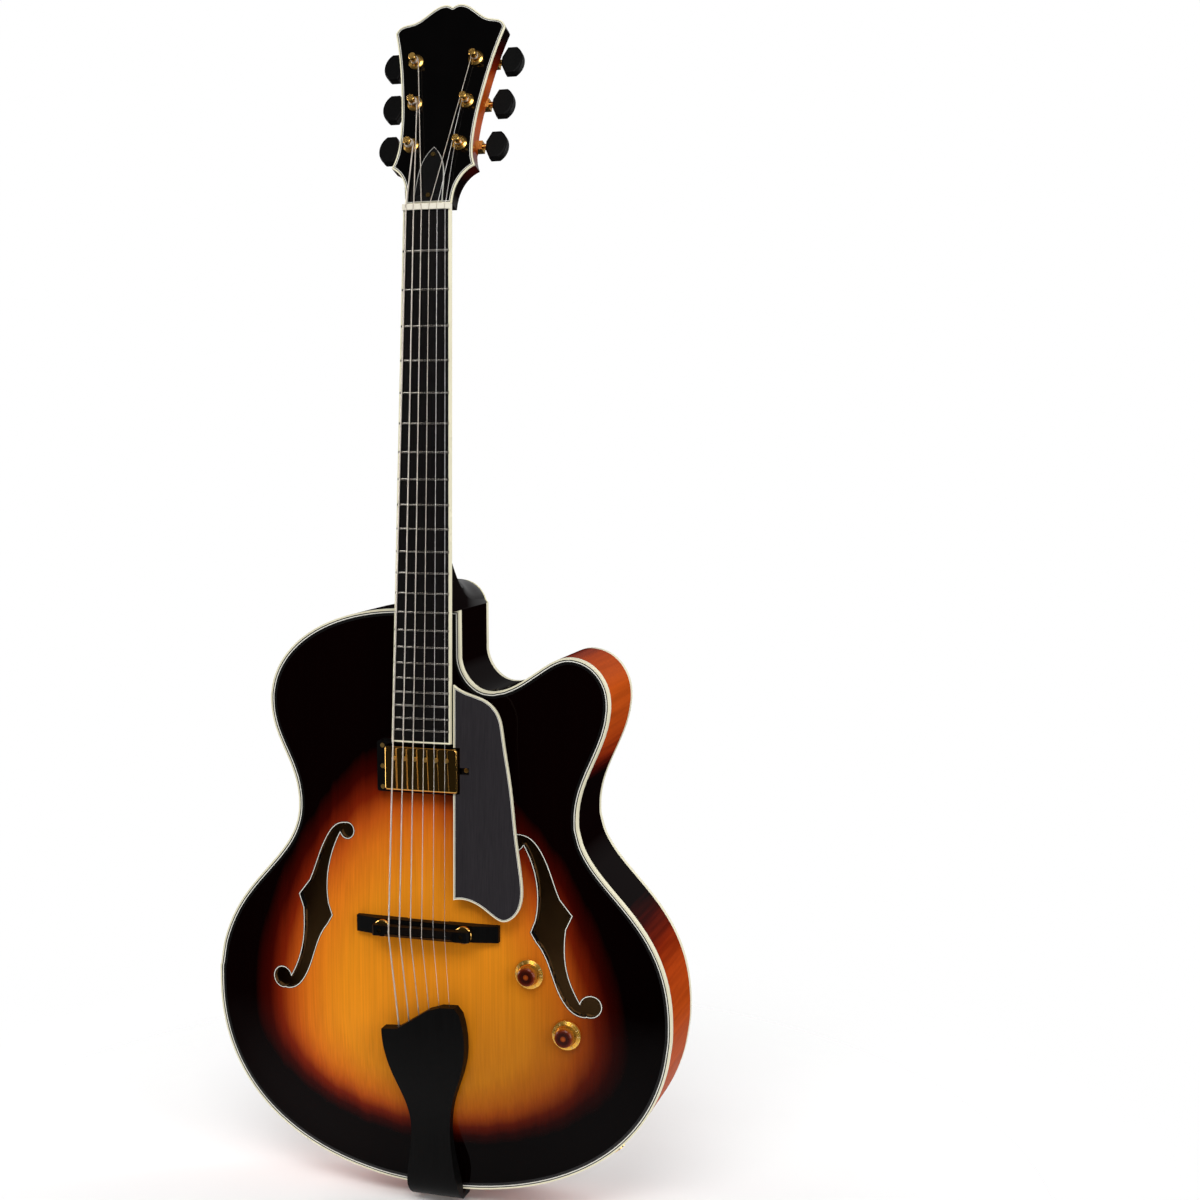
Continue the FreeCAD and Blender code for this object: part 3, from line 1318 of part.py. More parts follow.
def make_bridge():
    """The base on the arch, two posts, two thumbwheels and the saddle that they lift."""
    half, wide = dim("bridge_length") / 2, dim("bridge_width") / 2
    rise, low = dim("bridge_rise"), dim("bridge_end_rise")
    flat = dim("bridge_post_spread") / 2 + dim("thumbwheel_radius")
    outline = [(-half, 0.0), (-half, low), (-flat, rise), (flat, rise), (half, low), (half, 0.0)]
    base = front_slab(outline, BRIDGE_Z - wide, BRIDGE_Z + wide).cut(BEHIND_TOP)
    relief_rise = top_rise(0, BRIDGE_Z) + dim("bridge_foot_relief")
    relief = box_across(dim("bridge_foot_gap") / 2, wide, BRIDGE_Z, relief_rise, 0.0)
    posts_x = [side * dim("bridge_post_spread") / 2 for side in (-1, 1)]
    radius, socket = dim("bridge_post_radius"), rise - dim("bridge_post_depth")
    sockets = [rod(x, BRIDGE_Z, radius, rise, socket) for x in posts_x]
    piece("bridge_base", base.cut([relief] + sockets), BODY)
    post_length = "dims.saddle_end_rise - dims.bridge_rise + dims.bridge_post_depth - dims.bridge_post_sink"
    places = [at(x, FRONT - socket, BRIDGE_Z, FORWARD) for x in posts_x]
    posts = [cylinder("bridge_post", "dims.bridge_post_radius", post_length, place) for place in places]
    group("bridge_posts", posts, BODY)
    wheel = (("dims.bridge_post_radius + dims.running_clearance", "0"),
             ("dims.thumbwheel_radius - dims.thumbwheel_edge", "0"),
             ("dims.thumbwheel_radius", "dims.thumbwheel_edge"),
             ("dims.thumbwheel_radius", "dims.thumbwheel_thickness - dims.thumbwheel_edge"),
             ("dims.thumbwheel_radius - dims.thumbwheel_edge", "dims.thumbwheel_thickness"),
             ("dims.bridge_post_radius + dims.running_clearance", "dims.thumbwheel_thickness"))
    for name, x in zip(("thumbwheel_bass", "thumbwheel_treble"), posts_x):
        place = BODY.multiply(at(x, FRONT - WHEEL_BOTTOM, BRIDGE_Z, FORWARD))
        keep(name, turned(name, wheel, place), place)
    make_saddle([rod(x, BRIDGE_Z, radius + dim("running_clearance"), 2 * rise, socket) for x in posts_x])


def make_saddle(post_holes):
    """The saddle: level ends on the thumbwheels and a raised ridge that follows the strings."""
    long, deep, ridge = dim("saddle_length") / 2, dim("saddle_width") / 2, dim("saddle_ridge") / 2
    end, crest = dim("saddle_end_rise"), dim("board_rise") + dim("string_rise_at_saddle")
    top = crest + dim("string_rise_at_saddle")
    slope = dim("saddle_slope")
    inner, outer = dim("saddle_shoulder") - slope, dim("saddle_shoulder") + slope
    right = [(inner, top), (outer, end), (long - slope, end), (long, end - slope), (long, WHEEL_TOP)]
    left = [(-x, rise) for x, rise in reversed(right)]
    bevel = crest - 2 * dim("saddle_clearance")
    upper = [(deep, WHEEL_TOP), (deep, end), (ridge, bevel), (ridge, top)]
    section = [(BRIDGE_Z + z, rise) for z, rise in upper]
    section += [(BRIDGE_Z - z, rise) for z, rise in reversed(upper)]
    plan = front_slab(left + right, BRIDGE_Z - deep, BRIDGE_Z + deep)
    saddle = plan.common(side_slab(section, -long, long))
    lift = dim("string_rise_at_saddle") - dim("saddle_clearance")
    saddle = saddle.common(moved(crown(lift, -3 * deep, 2 * deep), NECK_IN_BODY))
    piece("bridge_saddle", saddle.cut(post_holes), BODY)


# Tailpiece, its hanger and the end pin

# The tailpiece's plan: points across, at shares of its length over the tail
TAILPIECE_EDGE = ((-40.0, 0.862), (-25.0, 0.868), (-12.0, 0.9135), (5.0, 0.974), (17.0, 0.996), (31.0, 1.0),
                  (36.0, 0.965))
TAILPIECE_TREBLE = ((36.0, 0.965), (39.5, 0.865), (38.8, 0.746), (33.5, 0.638), (26.0, 0.53), (21.0, 0.4216),
                    (19.5, 0.3135), (21.5, 0.184), (25.0, 0.0324))
TAILPIECE_BASS = ((-25.0, 0.0324), (-21.0, 0.184), (-18.5, 0.3135), (-19.5, 0.4216), (-25.0, 0.53),
                  (-32.5, 0.638), (-38.0, 0.746), (-40.0, 0.862))
# Its side view: shares of its length and of its rise, and how much of its thickness each place has
TAILPIECE_ARCH = ((1.0, 1.0), (0.62, 0.84), (0.3, 0.56))
TAILPIECE_THINNING = (1.0, 1.0, 0.77)


def make_tailpiece():
    """The tapered tailpiece that arches from the strings down over the tail edge."""
    long, thick, high = dim("tailpiece_length"), dim("tailpiece_thickness"), dim("tailpiece_rise")
    inside_z = -dim("hanger_thickness")
    outside_z = inside_z - dim("tailpiece_foot_thickness")
    upper_edge, treble, bass = [[(x, share * long) for x, share in points]
                                for points in (TAILPIECE_EDGE, TAILPIECE_TREBLE, TAILPIECE_BASS)]
    right, left = treble[-1], bass[0]
    foot = [right, (right[0], outside_z), (left[0], outside_z), left]
    edges = [line(a, b) for a, b in zip(upper_edge, upper_edge[1:])] + [spline(treble)]
    edges += [line(a, b) for a, b in zip(foot, foot[1:])] + [spline(bass)]
    plan = slab(Part.Wire(edges), FRONT - dim("rim_depth"), -FRONT)
    low = dim("tailpiece_foot_rise")
    arch = [(share_z * long, share_rise * high) for share_z, share_rise in TAILPIECE_ARCH]
    heel = (outside_z + dim("tailpiece_foot_thickness"), low + dim("tailpiece_heel_rise"))
    outer = [Vector(0, FRONT - rise, z) for z, rise in arch + [heel, (outside_z, low)]]
    thinner = [thick * share for share in TAILPIECE_THINNING]
    inner = [Vector(0, FRONT - rise + less, z) for (z, rise), less in zip(arch, thinner)]
    inner = [Vector(0, FRONT - low, inside_z)] + inner[::-1]
    upper = Part.BSplineCurve()
    upper.interpolate(outer)
    lower = Part.BSplineCurve()
    lower.interpolate(inner)
    toe = FRONT + dim("tailpiece_foot_depth")
    toe_out, toe_in = Vector(0, toe, outside_z), Vector(0, toe, inside_z)
    rim = [upper.toShape(), Part.makeLine(outer[-1], toe_out), Part.makeLine(toe_out, toe_in),
           Part.makeLine(toe_in, inner[0]), lower.toShape(), Part.makeLine(inner[-1], outer[0])]
    profile = Part.Face(Part.Wire(rim))
    width = dim("lower_bout_width") / 2
    profile.translate(Vector(-width / 2, 0, 0))
    solid = plan.common(profile.extrude(Vector(width, 0, 0)))
    holes = []
    for index in range(STRING_COUNT):
        anchor, saddle, _ = string_corners(index)
        radius = string_radius(index) + dim("running_clearance")
        away = (saddle - anchor).normalize()
        holes.append(Part.makeCylinder(radius, 4 * dim("string_hole_depth"), anchor - away * radius, away))
    piece("tailpiece", solid.cut(holes), BODY)


def make_hanger_and_pin():
    """The plate that holds the tailpiece's foot to the tail, and the end pin through it."""
    thick = dim("hanger_thickness")
    place = at(-dim("hanger_width") / 2, FRONT, -thick)
    plate = block("hanger_plate", "dims.hanger_width", "dims.rim_depth / 2 + dims.hanger_drop",
                  "dims.hanger_thickness", place)
    hole = cylinder("hanger_hole", "dims.end_pin_shaft_radius", "dims.hanger_thickness * 3",
                    at(0, 0, -2 * thick))
    keep("tail_hanger", cut("tail_hanger", plate, hole), BODY)
    flange = "dims.end_pin_button_length + dims.end_pin_neck_length"
    seat = flange + " + dims.end_pin_flange_length"
    tip = seat + " + dims.hanger_thickness + dims.end_pin_shaft_length"
    profile = (("0", "0"),
               ("dims.end_pin_button_radius", "0"),
               ("dims.end_pin_button_radius", "dims.end_pin_button_length"),
               ("dims.end_pin_neck_radius", "dims.end_pin_button_length"),
               ("dims.end_pin_neck_radius", flange),
               ("dims.end_pin_flange_radius", flange),
               ("dims.end_pin_flange_radius", seat),
               ("dims.end_pin_shaft_radius", seat),
               ("dims.end_pin_shaft_radius", tip),
               ("0", tip))
    keep("end_pin", turned("end_pin", profile, Placement()), Placement())


# Pickup

def round_uprights(box, radius):
    """A box with its edges from front to back rounded."""
    uprights = [edge for edge in box.Edges if edge.BoundBox.YLength > radius]
    return box.makeFillet(radius, uprights)


def make_pickup():
    """The ring on the arch, the covered pickup that hangs in it and the pole screws."""
    ring_rise = dim("pickup_ring_rise")
    ring = box_across(dim("pickup_ring_length") / 2, dim("pickup_ring_width") / 2, PICKUP_Z, ring_rise, 0.0)
    ring = round_uprights(ring, dim("pickup_corner"))
    holes = []
    for x, z in RING_SCREWS + HEIGHT_SCREWS:
        holes.append(rod(x, z, dim("screw_radius"), ring_rise, 0.0))
        holes.append(rod(x, z, dim("screw_head_radius"), ring_rise, ring_rise - dim("screw_head_length")))
    rooms = [BEHIND_TOP, pickup_well(2 * ring_rise), leg_slots(ring_rise - dim("pickup_ring_wall"))]
    piece("pickup_ring", ring.cut(rooms + holes), BODY)
    rise, depth, wall = dim("pickup_cover_rise"), dim("pickup_cover_depth"), dim("pickup_cover_wall")
    long, wide = dim("pickup_cover_length") / 2, dim("pickup_cover_width") / 2
    outer = box_across(long, wide, PICKUP_Z, rise, rise - depth)
    corner, back = dim("pickup_corner"), FRONT - rise + depth
    outer = outer.makeFillet(corner, [edge for edge in outer.Edges if edge.CenterOfMass.y < back - wall])
    hollow = box_across(long - wall, wide - wall, PICKUP_Z, rise - wall, rise - depth)
    inner_edges = [edge for edge in hollow.Edges if edge.CenterOfMass.y < back - wall]
    hollow = hollow.makeFillet(corner - wall, inner_edges)
    pole_z = PICKUP_Z + dim("pole_offset")
    poles = [(spread(dim("pole_spread"), index), pole_z) for index in range(STRING_COUNT)]
    pole_holes = [rod(x, z, dim("pole_radius"), rise + 1, rise - depth - 2) for x, z in poles]
    piece("pickup_cover", outer.cut(hollow).cut(pole_holes), BODY)
    pole_rods = [rod(x, z, dim("pole_radius"), rise + dim("pole_head"), rise - depth + 1) for x, z in poles]
    piece("pole_screws", Part.makeCompound(pole_rods), BODY)
    inner_long, inner_wide = long - wall, wide - wall
    plate_rise = rise - depth + dim("pickup_leg_thickness")
    plate = box_across(inner_long, inner_wide, PICKUP_Z, plate_rise, rise - depth)
    plate = plate.makeFillet(corner - wall, [edge for edge in plate.Edges if edge.Length < 2 * corner])
    legs = box_across(PICKUP_LEG_REACH + dim("screw_head_radius"), dim("pickup_leg_width") / 2, PICKUP_Z,
                      rise - depth, rise - depth - dim("pickup_leg_thickness"))
    coils = []
    for side in (-1, 1):
        coil = box_across(inner_long - corner, inner_wide / 2 - wall, PICKUP_Z + side * inner_wide / 2,
                          rise - corner, plate_rise)
        coils.append(round_uprights(coil, 2 * corner))
    loose = dim("screw_radius") + dim("running_clearance")
    bores = [rod(x, z, loose, rise, rise - 2 * depth) for x, z in HEIGHT_SCREWS]
    piece("pickup_coils", plate.fuse([legs] + coils).cut(pole_holes + bores), BODY)


# Controls

def rises_around(x, z, radius):
    """Rises of the top round a circle."""
    turns = [k * math.pi / 6 for k in range(12)]
    return [top_rise(x + radius * math.cos(turn), z + radius * math.sin(turn)) for turn in turns]


def make_controls():
    """Two potentiometers under the top, each with a knob on its shaft, and the output jack in the rib."""
    cans = []
    knob_profile = (("dims.control_shaft_radius", "dims.knob_rise - dims.knob_lid"),
                    ("dims.control_shaft_radius", "dims.knob_hollow"),
                    ("dims.control_bushing_radius + dims.knob_skirt", "dims.knob_hollow"),
                    ("dims.knob_radius - dims.knob_skirt", "0"),
                    ("dims.knob_radius", "0"),
                    ("dims.knob_radius", "dims.knob_rise * 0.14"),
                    ("dims.knob_top_radius * 1.2", "dims.knob_rise * 0.29"),
                    ("dims.knob_top_radius * 1.08", "dims.knob_rise * 0.47"),
                    ("dims.knob_top_radius", "dims.knob_rise * 0.92"),
                    ("dims.knob_top_radius * 0.87", "dims.knob_rise"),
                    ("0", "dims.knob_rise"),
                    ("0", "dims.knob_rise - dims.knob_lid"))
    plate_depth = dim("plate_thickness") + PLATE_OVERLAP
    for name, (x, z) in CONTROLS.items():
        knob_rises = rises_around(x, z, dim("knob_radius"))
        can_rises = rises_around(x, z, dim("control_can_radius"))
        seat = max(knob_rises) + dim("knob_clearance")
        under = min(can_rises) - plate_depth
        tip = seat + dim("knob_hollow") - dim("knob_clearance")
        floor = under - dim("control_can_depth")
        shaft_low = floor + dim("control_can_wall")
        tube = rod(x, z, dim("control_bushing_radius"), tip, under)
        can = rod(x, z, dim("control_can_radius"), under, floor)
        bore = rod(x, z, dim("control_shaft_radius") + dim("running_clearance"), tip,
                   shaft_low - dim("running_clearance"))
        cans.append(tube.fuse(can).cut(bore))
        knob = turned(name + "_knob_cap", knob_profile, at(x, FRONT - seat, z, FORWARD))
        shaft = doc.addObject("Part::Cylinder", name + "_shaft")
        shaft.setExpression("Radius", "dims.control_shaft_radius")
        shaft.Height = seat + dim("knob_rise") - dim("knob_lid") - shaft_low
        shaft.Placement = at(x, FRONT - shaft_low, z, FORWARD)
        group(name + "_knob", (knob, shaft), BODY)
    piece("potentiometers", Part.makeCompound(cans), BODY)
    make_jack()


def make_jack():
    """The output jack through the lower rib, a bore for a plug inside a threaded tube with washer and nut."""
    washer = "dims.jack_washer_length"
    outer = washer + " + dims.jack_nut_length"
    jack_profile = (("dims.jack_bore_radius", outer),
                    ("dims.jack_nut_radius", outer),
                    ("dims.jack_nut_radius", washer),
                    ("dims.jack_washer_radius", washer),
                    ("dims.jack_washer_radius", "dims.jack_washer_gap"),
                    ("dims.jack_tube_radius", "dims.jack_washer_gap"),
                    ("dims.jack_tube_radius", "-dims.jack_depth"),
                    ("0", "-dims.jack_depth"),
                    ("0", outer + " - dims.jack_bore_depth"),
                    ("dims.jack_bore_radius", outer + " - dims.jack_bore_depth"))
    keep("output_jack", turned("output_jack", jack_profile, JACK), JACK)


# Pickguard

GUARD_EDGE = ((29.6, 219.0), (45.0, 211.5), (62.0, 205.0), (71.5, 194.5), (76.3, 174.8), (83.5, 130.0),
              (88.6, 84.9), (93.4, 51.0), (93.8, 30.5), (87.3, 16.3), (76.5, 10.7), (67.0, 14.6),
              (55.0, 22.6), (43.0, 27.2), (29.6, 26.6))
GUARD_SUPPORT = (62.0, 100.0)


def guard_wire(inset):
    """The guard's outline, drawn in by the inset."""
    outline = Part.Wire([spline(GUARD_EDGE), line(GUARD_EDGE[-1], GUARD_EDGE[0])])
    if inset > 0:
        outline = drawn_in(outline, inset)
    return outline


def make_guard():
    """The raised guard with its binding, notched round the pickup, and the support block under it."""
    thick = dim("guard_thickness")
    face = slab(guard_wire(dim("guard_binding")), 0.0, thick)
    rim = slab(guard_wire(0.0), 0.0, thick).cut(face)
    head = dim("screw_head_radius")
    high = 2 * dim("guard_rise")
    tab = box_across(PICKUP_LEG_REACH + 2 * head, 1.5 * head, PICKUP_Z, high, 0.0)
    tools = [moved(tool, GUARD_IN_BODY.inverse()) for tool in (pickup_well(high), tab)]
    piece("pickguard", face.cut(tools), GUARD)
    piece("pickguard_binding", Part.makeCompound(rim.cut(tools).Solids), GUARD)
    half = dim("guard_support_width") / 2
    x, z = GUARD_SUPPORT
    post = Part.makeBox(2 * half, 2 * dim("guard_rise"), 2 * half, Vector(x - half, thick, z - half))
    piece("pickguard_support", moved(post, GUARD_IN_BODY).cut(BEHIND_TOP), BODY)


# Build every piece, check it and write it

make_ribs()
make_blocks_and_linings(make_plates())
make_neck(make_fingerboard())
make_truss_cover()
make_tuners()
make_strings()
make_bridge()
make_tailpiece()
make_hanger_and_pin()
make_pickup()
make_controls()
make_guard()
make_screws()
doc.recompute()

for thing in doc.Objects:
    if "Invalid" in thing.State or "Error" in thing.State:
        raise RuntimeError("not built: " + thing.Label)
for thing in finished:
    if thing.Shape.isNull() or not thing.Shape.isValid() or not thing.Shape.Solids:
        raise RuntimeError("bad shape: " + thing.Label)

os.makedirs("parts", exist_ok=True)
for thing in finished:
    thing.Shape.exportStep(os.path.join("parts", thing.Label + ".step"))
print(len(finished), "pieces,", sum(len(thing.Shape.Solids) for thing in finished), "solids")
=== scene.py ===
"""The looks of an archtop guitar: burst lacquer, flamed maple, ebony, layered bindings and gold hardware."""

import math

import bpy
from mathutils import Euler, Matrix, Vector
from mathutils.bvhtree import BVHTree


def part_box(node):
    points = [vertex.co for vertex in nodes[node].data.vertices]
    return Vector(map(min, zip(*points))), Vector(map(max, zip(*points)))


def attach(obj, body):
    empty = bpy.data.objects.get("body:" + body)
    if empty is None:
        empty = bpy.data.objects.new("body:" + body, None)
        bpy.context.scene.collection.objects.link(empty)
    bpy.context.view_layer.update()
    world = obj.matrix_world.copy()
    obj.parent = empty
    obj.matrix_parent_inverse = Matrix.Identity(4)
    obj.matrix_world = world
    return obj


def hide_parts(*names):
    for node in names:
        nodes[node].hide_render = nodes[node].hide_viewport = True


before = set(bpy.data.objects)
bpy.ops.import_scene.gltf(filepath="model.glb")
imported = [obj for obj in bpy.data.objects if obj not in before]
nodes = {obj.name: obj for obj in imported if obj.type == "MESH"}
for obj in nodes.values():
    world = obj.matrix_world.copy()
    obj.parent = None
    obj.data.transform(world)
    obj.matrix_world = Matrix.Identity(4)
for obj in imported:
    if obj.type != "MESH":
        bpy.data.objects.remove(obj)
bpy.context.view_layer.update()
ROOT = "guitar"
KEYS = range(1, 7)
RIBS = ["bass_rib", "treble_rib", "horn_rib", "cutaway_rib"]

# Places and sizes on the guitar, in metres in the row's frame

SADDLE_HEIGHT = 0.2716
SCALE_LENGTH = 0.635
NECK_PITCH = math.radians(3.57)
NUT_HEIGHT = SADDLE_HEIGHT + SCALE_LENGTH * math.cos(NECK_PITCH)
HEAD_FRONT = Vector((0.0, -0.9422, 0.3350))
LID_RISE = 0.0003

BODY_BINDING = 0.006
SOUND_HOLE_BINDING = 0.0016
BOARD_BINDING = 0.0017
HEAD_BINDING = 0.003
GUARD_BINDING = 0.0018

KNOB_CAP = 0.0082
KNOB_CAP_FOOT = 1.2 * KNOB_CAP
KNOB_SKIRT = 0.0132
KNOB_RISE = 0.011
SKIRT_DROP = 0.15 * KNOB_RISE
SKIRT_MIDDLE = 0.215 * KNOB_RISE
NUMBER_SIZE = 0.0032
NUMBER_LIFT = 0.00012
NUMBERS = range(11)
FIRST_NUMBER_ANGLE = 150
NUMBER_STEP = 30

DOT_FRETS = (3, 5, 7, 9, 12, 15, 17)
DOUBLE_DOT_FRET = 12
DOUBLE_DOT_OFFSET = 0.004
DOT_RADIUS = 0.0011
DOT_SIDES = 16
DOT_LIFT = 0.00005
BESIDE_BOARD = -0.1
BOARD_DEPTHS = [step * 0.0005 for step in range(-180, 60)]

COVER_LINE_WIDTH = 0.0005
COVER_LINE_LIFT = 0.00006
COVER_SCREW_ROOM = 0.0035
COVER_END_ROOM = 0.003


# Colours, written as they look on a screen

def seen(red, green, blue):
    """A colour given in screen values from 0 to 255, as the linear colour that a socket takes."""
    def linear(value):
        share = value / 255
        return share / 12.92 if share <= 0.04045 else ((share + 0.055) / 1.055) ** 2.4
    return (linear(red), linear(green), linear(blue), 1.0)


BURST_BLACK = seen(6, 1, 1)
BURST_RED = seen(52, 5, 2)
CREAM = seen(226, 220, 192)
WHITE_PLY = seen(226, 224, 214)
BLACK_PLY = seen(12, 11, 11)
HOLE_PLY = seen(96, 68, 38)
RAW_WOOD = seen(150, 112, 70)
PLATED = (seen(240, 194, 108), seen(222, 168, 82))
WORN = (seen(250, 210, 130), seen(236, 186, 100))
LID_SATIN = (seen(236, 164, 50), seen(222, 148, 44))

# Stains from the edge of a burst to its middle, as stops of (share, colour)

TOP_BURST = (
    (0.0, BURST_BLACK), (0.068, BURST_BLACK), (0.142, BURST_RED), (0.216, seen(112, 29, 7)),
    (0.29, seen(178, 78, 20)), (0.37, seen(206, 108, 25)), (0.55, seen(224, 136, 28)),
)
BACK_BURST = (
    (0.0, BURST_BLACK), (0.03, BURST_BLACK), (0.15, BURST_RED), (0.27, seen(124, 38, 7)),
    (0.4, seen(172, 78, 15)), (0.55, seen(191, 104, 19)), (0.95, seen(208, 128, 20)),
)
RIB_BURST = (
    (0.0, BURST_BLACK), (0.06, BURST_BLACK), (0.17, BURST_RED), (0.3, seen(112, 30, 8)),
    (0.45, seen(150, 54, 14)), (0.8, seen(166, 68, 18)),
)

# A knob's colours from its axis to the rim of its skirt, as stops of (share of the radius, colour); the dark
# stops round the bore are painted shade

CAP_SHARE = KNOB_CAP / KNOB_SKIRT
KNOB_RINGS = (
    (0.0, seen(150, 70, 16)), (0.16, seen(120, 46, 8)), (0.21, seen(40, 6, 1)), (0.4, seen(52, 9, 1)),
    (0.52, seen(84, 22, 4)), (CAP_SHARE, seen(126, 50, 9)), (CAP_SHARE + 0.06, seen(214, 146, 46)),
    (1.0, seen(248, 192, 84)),
)

# Layers of the bindings from the wood to the free edge, as stops of (share, colour)

BODY_PLIES = (
    # The rim
    (0.0, BLACK_PLY), (0.22, WHITE_PLY), (0.29, BLACK_PLY), (0.37, CREAM),
    # The sound holes
    (0.5, BLACK_PLY), (0.66, WHITE_PLY), (0.86, BLACK_PLY), (1.0, BLACK_PLY),
)
NECK_PLIES = (
    # The board
    (0.0, BLACK_PLY), (0.09, CREAM),
    # The head
    (0.5, BLACK_PLY), (0.6, WHITE_PLY), (0.68, BLACK_PLY), (0.79, CREAM), (1.0, CREAM),
)
GUARD_PLIES = ((0.0, WHITE_PLY), (0.22, BLACK_PLY), (0.42, CREAM), (1.0, CREAM))


# Node helpers

def feed(tree, socket, value):
    """Links a socket to a value that is a socket, or sets it."""
    if isinstance(value, bpy.types.NodeSocket):
        tree.links.new(value, socket)
    else:
        socket.default_value = value


def add(tree, kind, values=None, **settings):
    """A new node with its settings; each value is a number, a colour or the socket that feeds it."""
    node = tree.nodes.new("ShaderNode" + kind)
    for name, setting in settings.items():
        setattr(node, name, setting)
    for name, value in (values or {}).items():
        feed(tree, node.inputs[name], value)
    return node


def maths(tree, operation, *values):
    """The result of a Math node over sockets and numbers."""
    return add(tree, "Math", dict(enumerate(values)), operation=operation).outputs[0]


def spread(tree, value, low, high, new_low=0.0, new_high=1.0):
    """A value taken from one range to another and held within it."""
    limits = {"From Min": low, "From Max": high, "To Min": new_low, "To Max": new_high}
    return add(tree, "MapRange", {"Value": value, **limits}).outputs[0]


def levelled(tree, pattern, low, high, swing=0.3):
    """A pattern that swings about one half, taken to a range of its own."""
    return spread(tree, pattern, 0.5 - swing, 0.5 + swing, low, high)


def swayed(tree, share, pattern, amount):
    """A share pushed up and down by a pattern that swings about one half."""
    return maths(tree, "MULTIPLY_ADD", maths(tree, "SUBTRACT", pattern, 0.5), amount, share)


def noise(tree, vector, scale, detail=3.0):
    """A soft random value around one half."""
    return add(tree, "TexNoise", {"Vector": vector, "Scale": scale, "Detail": detail}).outputs[0]


def stretched(tree, vector, factors):
    """Coordinates multiplied by three factors."""
    return add(tree, "VectorMath", {0: vector, 1: factors}, operation="MULTIPLY").outputs[0]


def measured(tree, vector, direction):
    """The length of a vector along a direction."""
    return add(tree, "VectorMath", {0: vector, 1: direction}, operation="DOT_PRODUCT").outputs["Value"]


def apart(tree, vector):
    """The X, Y and Z of a vector."""
    return add(tree, "SeparateXYZ", {0: vector}).outputs


def ramp(tree, share, stops, interpolation="LINEAR"):
    """The colour of a ramp with stops of (position, colour)."""
    node = add(tree, "ValToRGB", {"Fac": share})
    band = node.color_ramp
    band.interpolation = interpolation
    band.elements[0].position, band.elements[0].color = stops[0]
    band.elements[1].position, band.elements[1].color = stops[-1]
    for position, colour in stops[1:-1]:
        band.elements.new(position).color = colour
    return node.outputs["Color"]


def blended(tree, share, first, second):
    """A mix from the first colour to the second."""
    node = add(tree, "Mix", data_type="RGBA")
    sockets = [node.inputs[0]] + [socket for socket in node.inputs if socket.type == "RGBA"]
    for socket, value in zip(sockets, (share, first, second)):
        feed(tree, socket, value)
    return next(socket for socket in node.outputs if socket.type == "RGBA")


def shaded(tree, colour, level):
    """A colour made darker or lighter by a level around 1."""
    return add(tree, "VectorMath", {0: colour, "Scale": level}, operation="SCALE").outputs[0]


def coordinates(tree):
    """The piece's own coordinates, which stay with it when it moves."""
    return add(tree, "TexCoord").outputs["Object"]


def facing(tree):
    """The way that the surface faces, in the piece's own coordinates."""
    return add(tree, "TexCoord").outputs["Normal"]


def finish(name, **settings):
    """A new material: itself, its node tree and its shader, with the shader's plain sockets set."""
    material = bpy.data.materials.new(name)
    material.use_nodes = True
    tree = material.node_tree
    shader = tree.nodes["Principled BSDF"]
    for socket, value in settings.items():
        shader.inputs[socket.replace("_", " ")].default_value = value
    return material, tree, shader


def drive(tree, shader, **patterns):
    """Links sockets of a shader to what changes over the surface."""
    for socket, pattern in patterns.items():
        tree.links.new(pattern, shader.inputs[socket.replace("_", " ")])


def effect(name, inputs, outputs):
    """A new shader node group: its tree, its inputs and its output node."""
    tree = bpy.data.node_groups.new(name, "ShaderNodeTree")
    for label, kind, value in inputs:
        socket = tree.interface.new_socket(name=label, in_out="INPUT", socket_type="NodeSocket" + kind)
        if value is not None:
            socket.default_value = value
    for label in outputs:
        tree.interface.new_socket(name=label, in_out="OUTPUT", socket_type="NodeSocketFloat")
    return tree, tree.nodes.new("NodeGroupInput").outputs, tree.nodes.new("NodeGroupOutput")


def use(tree, group, **values):
    """The outputs of an effect placed in a material with its own values."""
    return add(tree, "Group", values, node_tree=group).outputs


# Effects that several finishes share

PLACE = ("Vector", "Vector", None)


def make_grain():
    """Long fibres of wood: fine streaks and a slow change of tone, along the direction stretched least."""
    stretch = ("Stretch", "Vector", (400, 400, 6))
    tree, entry, leave = effect("Wood Grain", [PLACE, stretch], ["Streaks", "Tone"])
    fibres = stretched(tree, entry["Vector"], entry["Stretch"])
    tree.links.new(noise(tree, fibres, 1.0), leave.inputs["Streaks"])
    tree.links.new(noise(tree, fibres, 0.12, 2.0), leave.inputs["Tone"])
    return tree


def make_flame():
    """The ripple of flamed maple: uneven bands across the direction stretched most."""
    stretch = ("Stretch", "Vector", (8, 8, 130))
    tree, entry, leave = effect("Maple Flame", [PLACE, stretch], ["Bands"])
    bands = stretched(tree, entry["Vector"], entry["Stretch"])
    broad = maths(tree, "MULTIPLY", noise(tree, bands, 0.5, 1.0), 0.4)
    both = maths(tree, "MULTIPLY_ADD", noise(tree, bands, 1.3, 2.0), 0.6, broad)
    tree.links.new(levelled(tree, both, 0.0, 1.0, swing=0.12), leave.inputs["Bands"])
    return tree


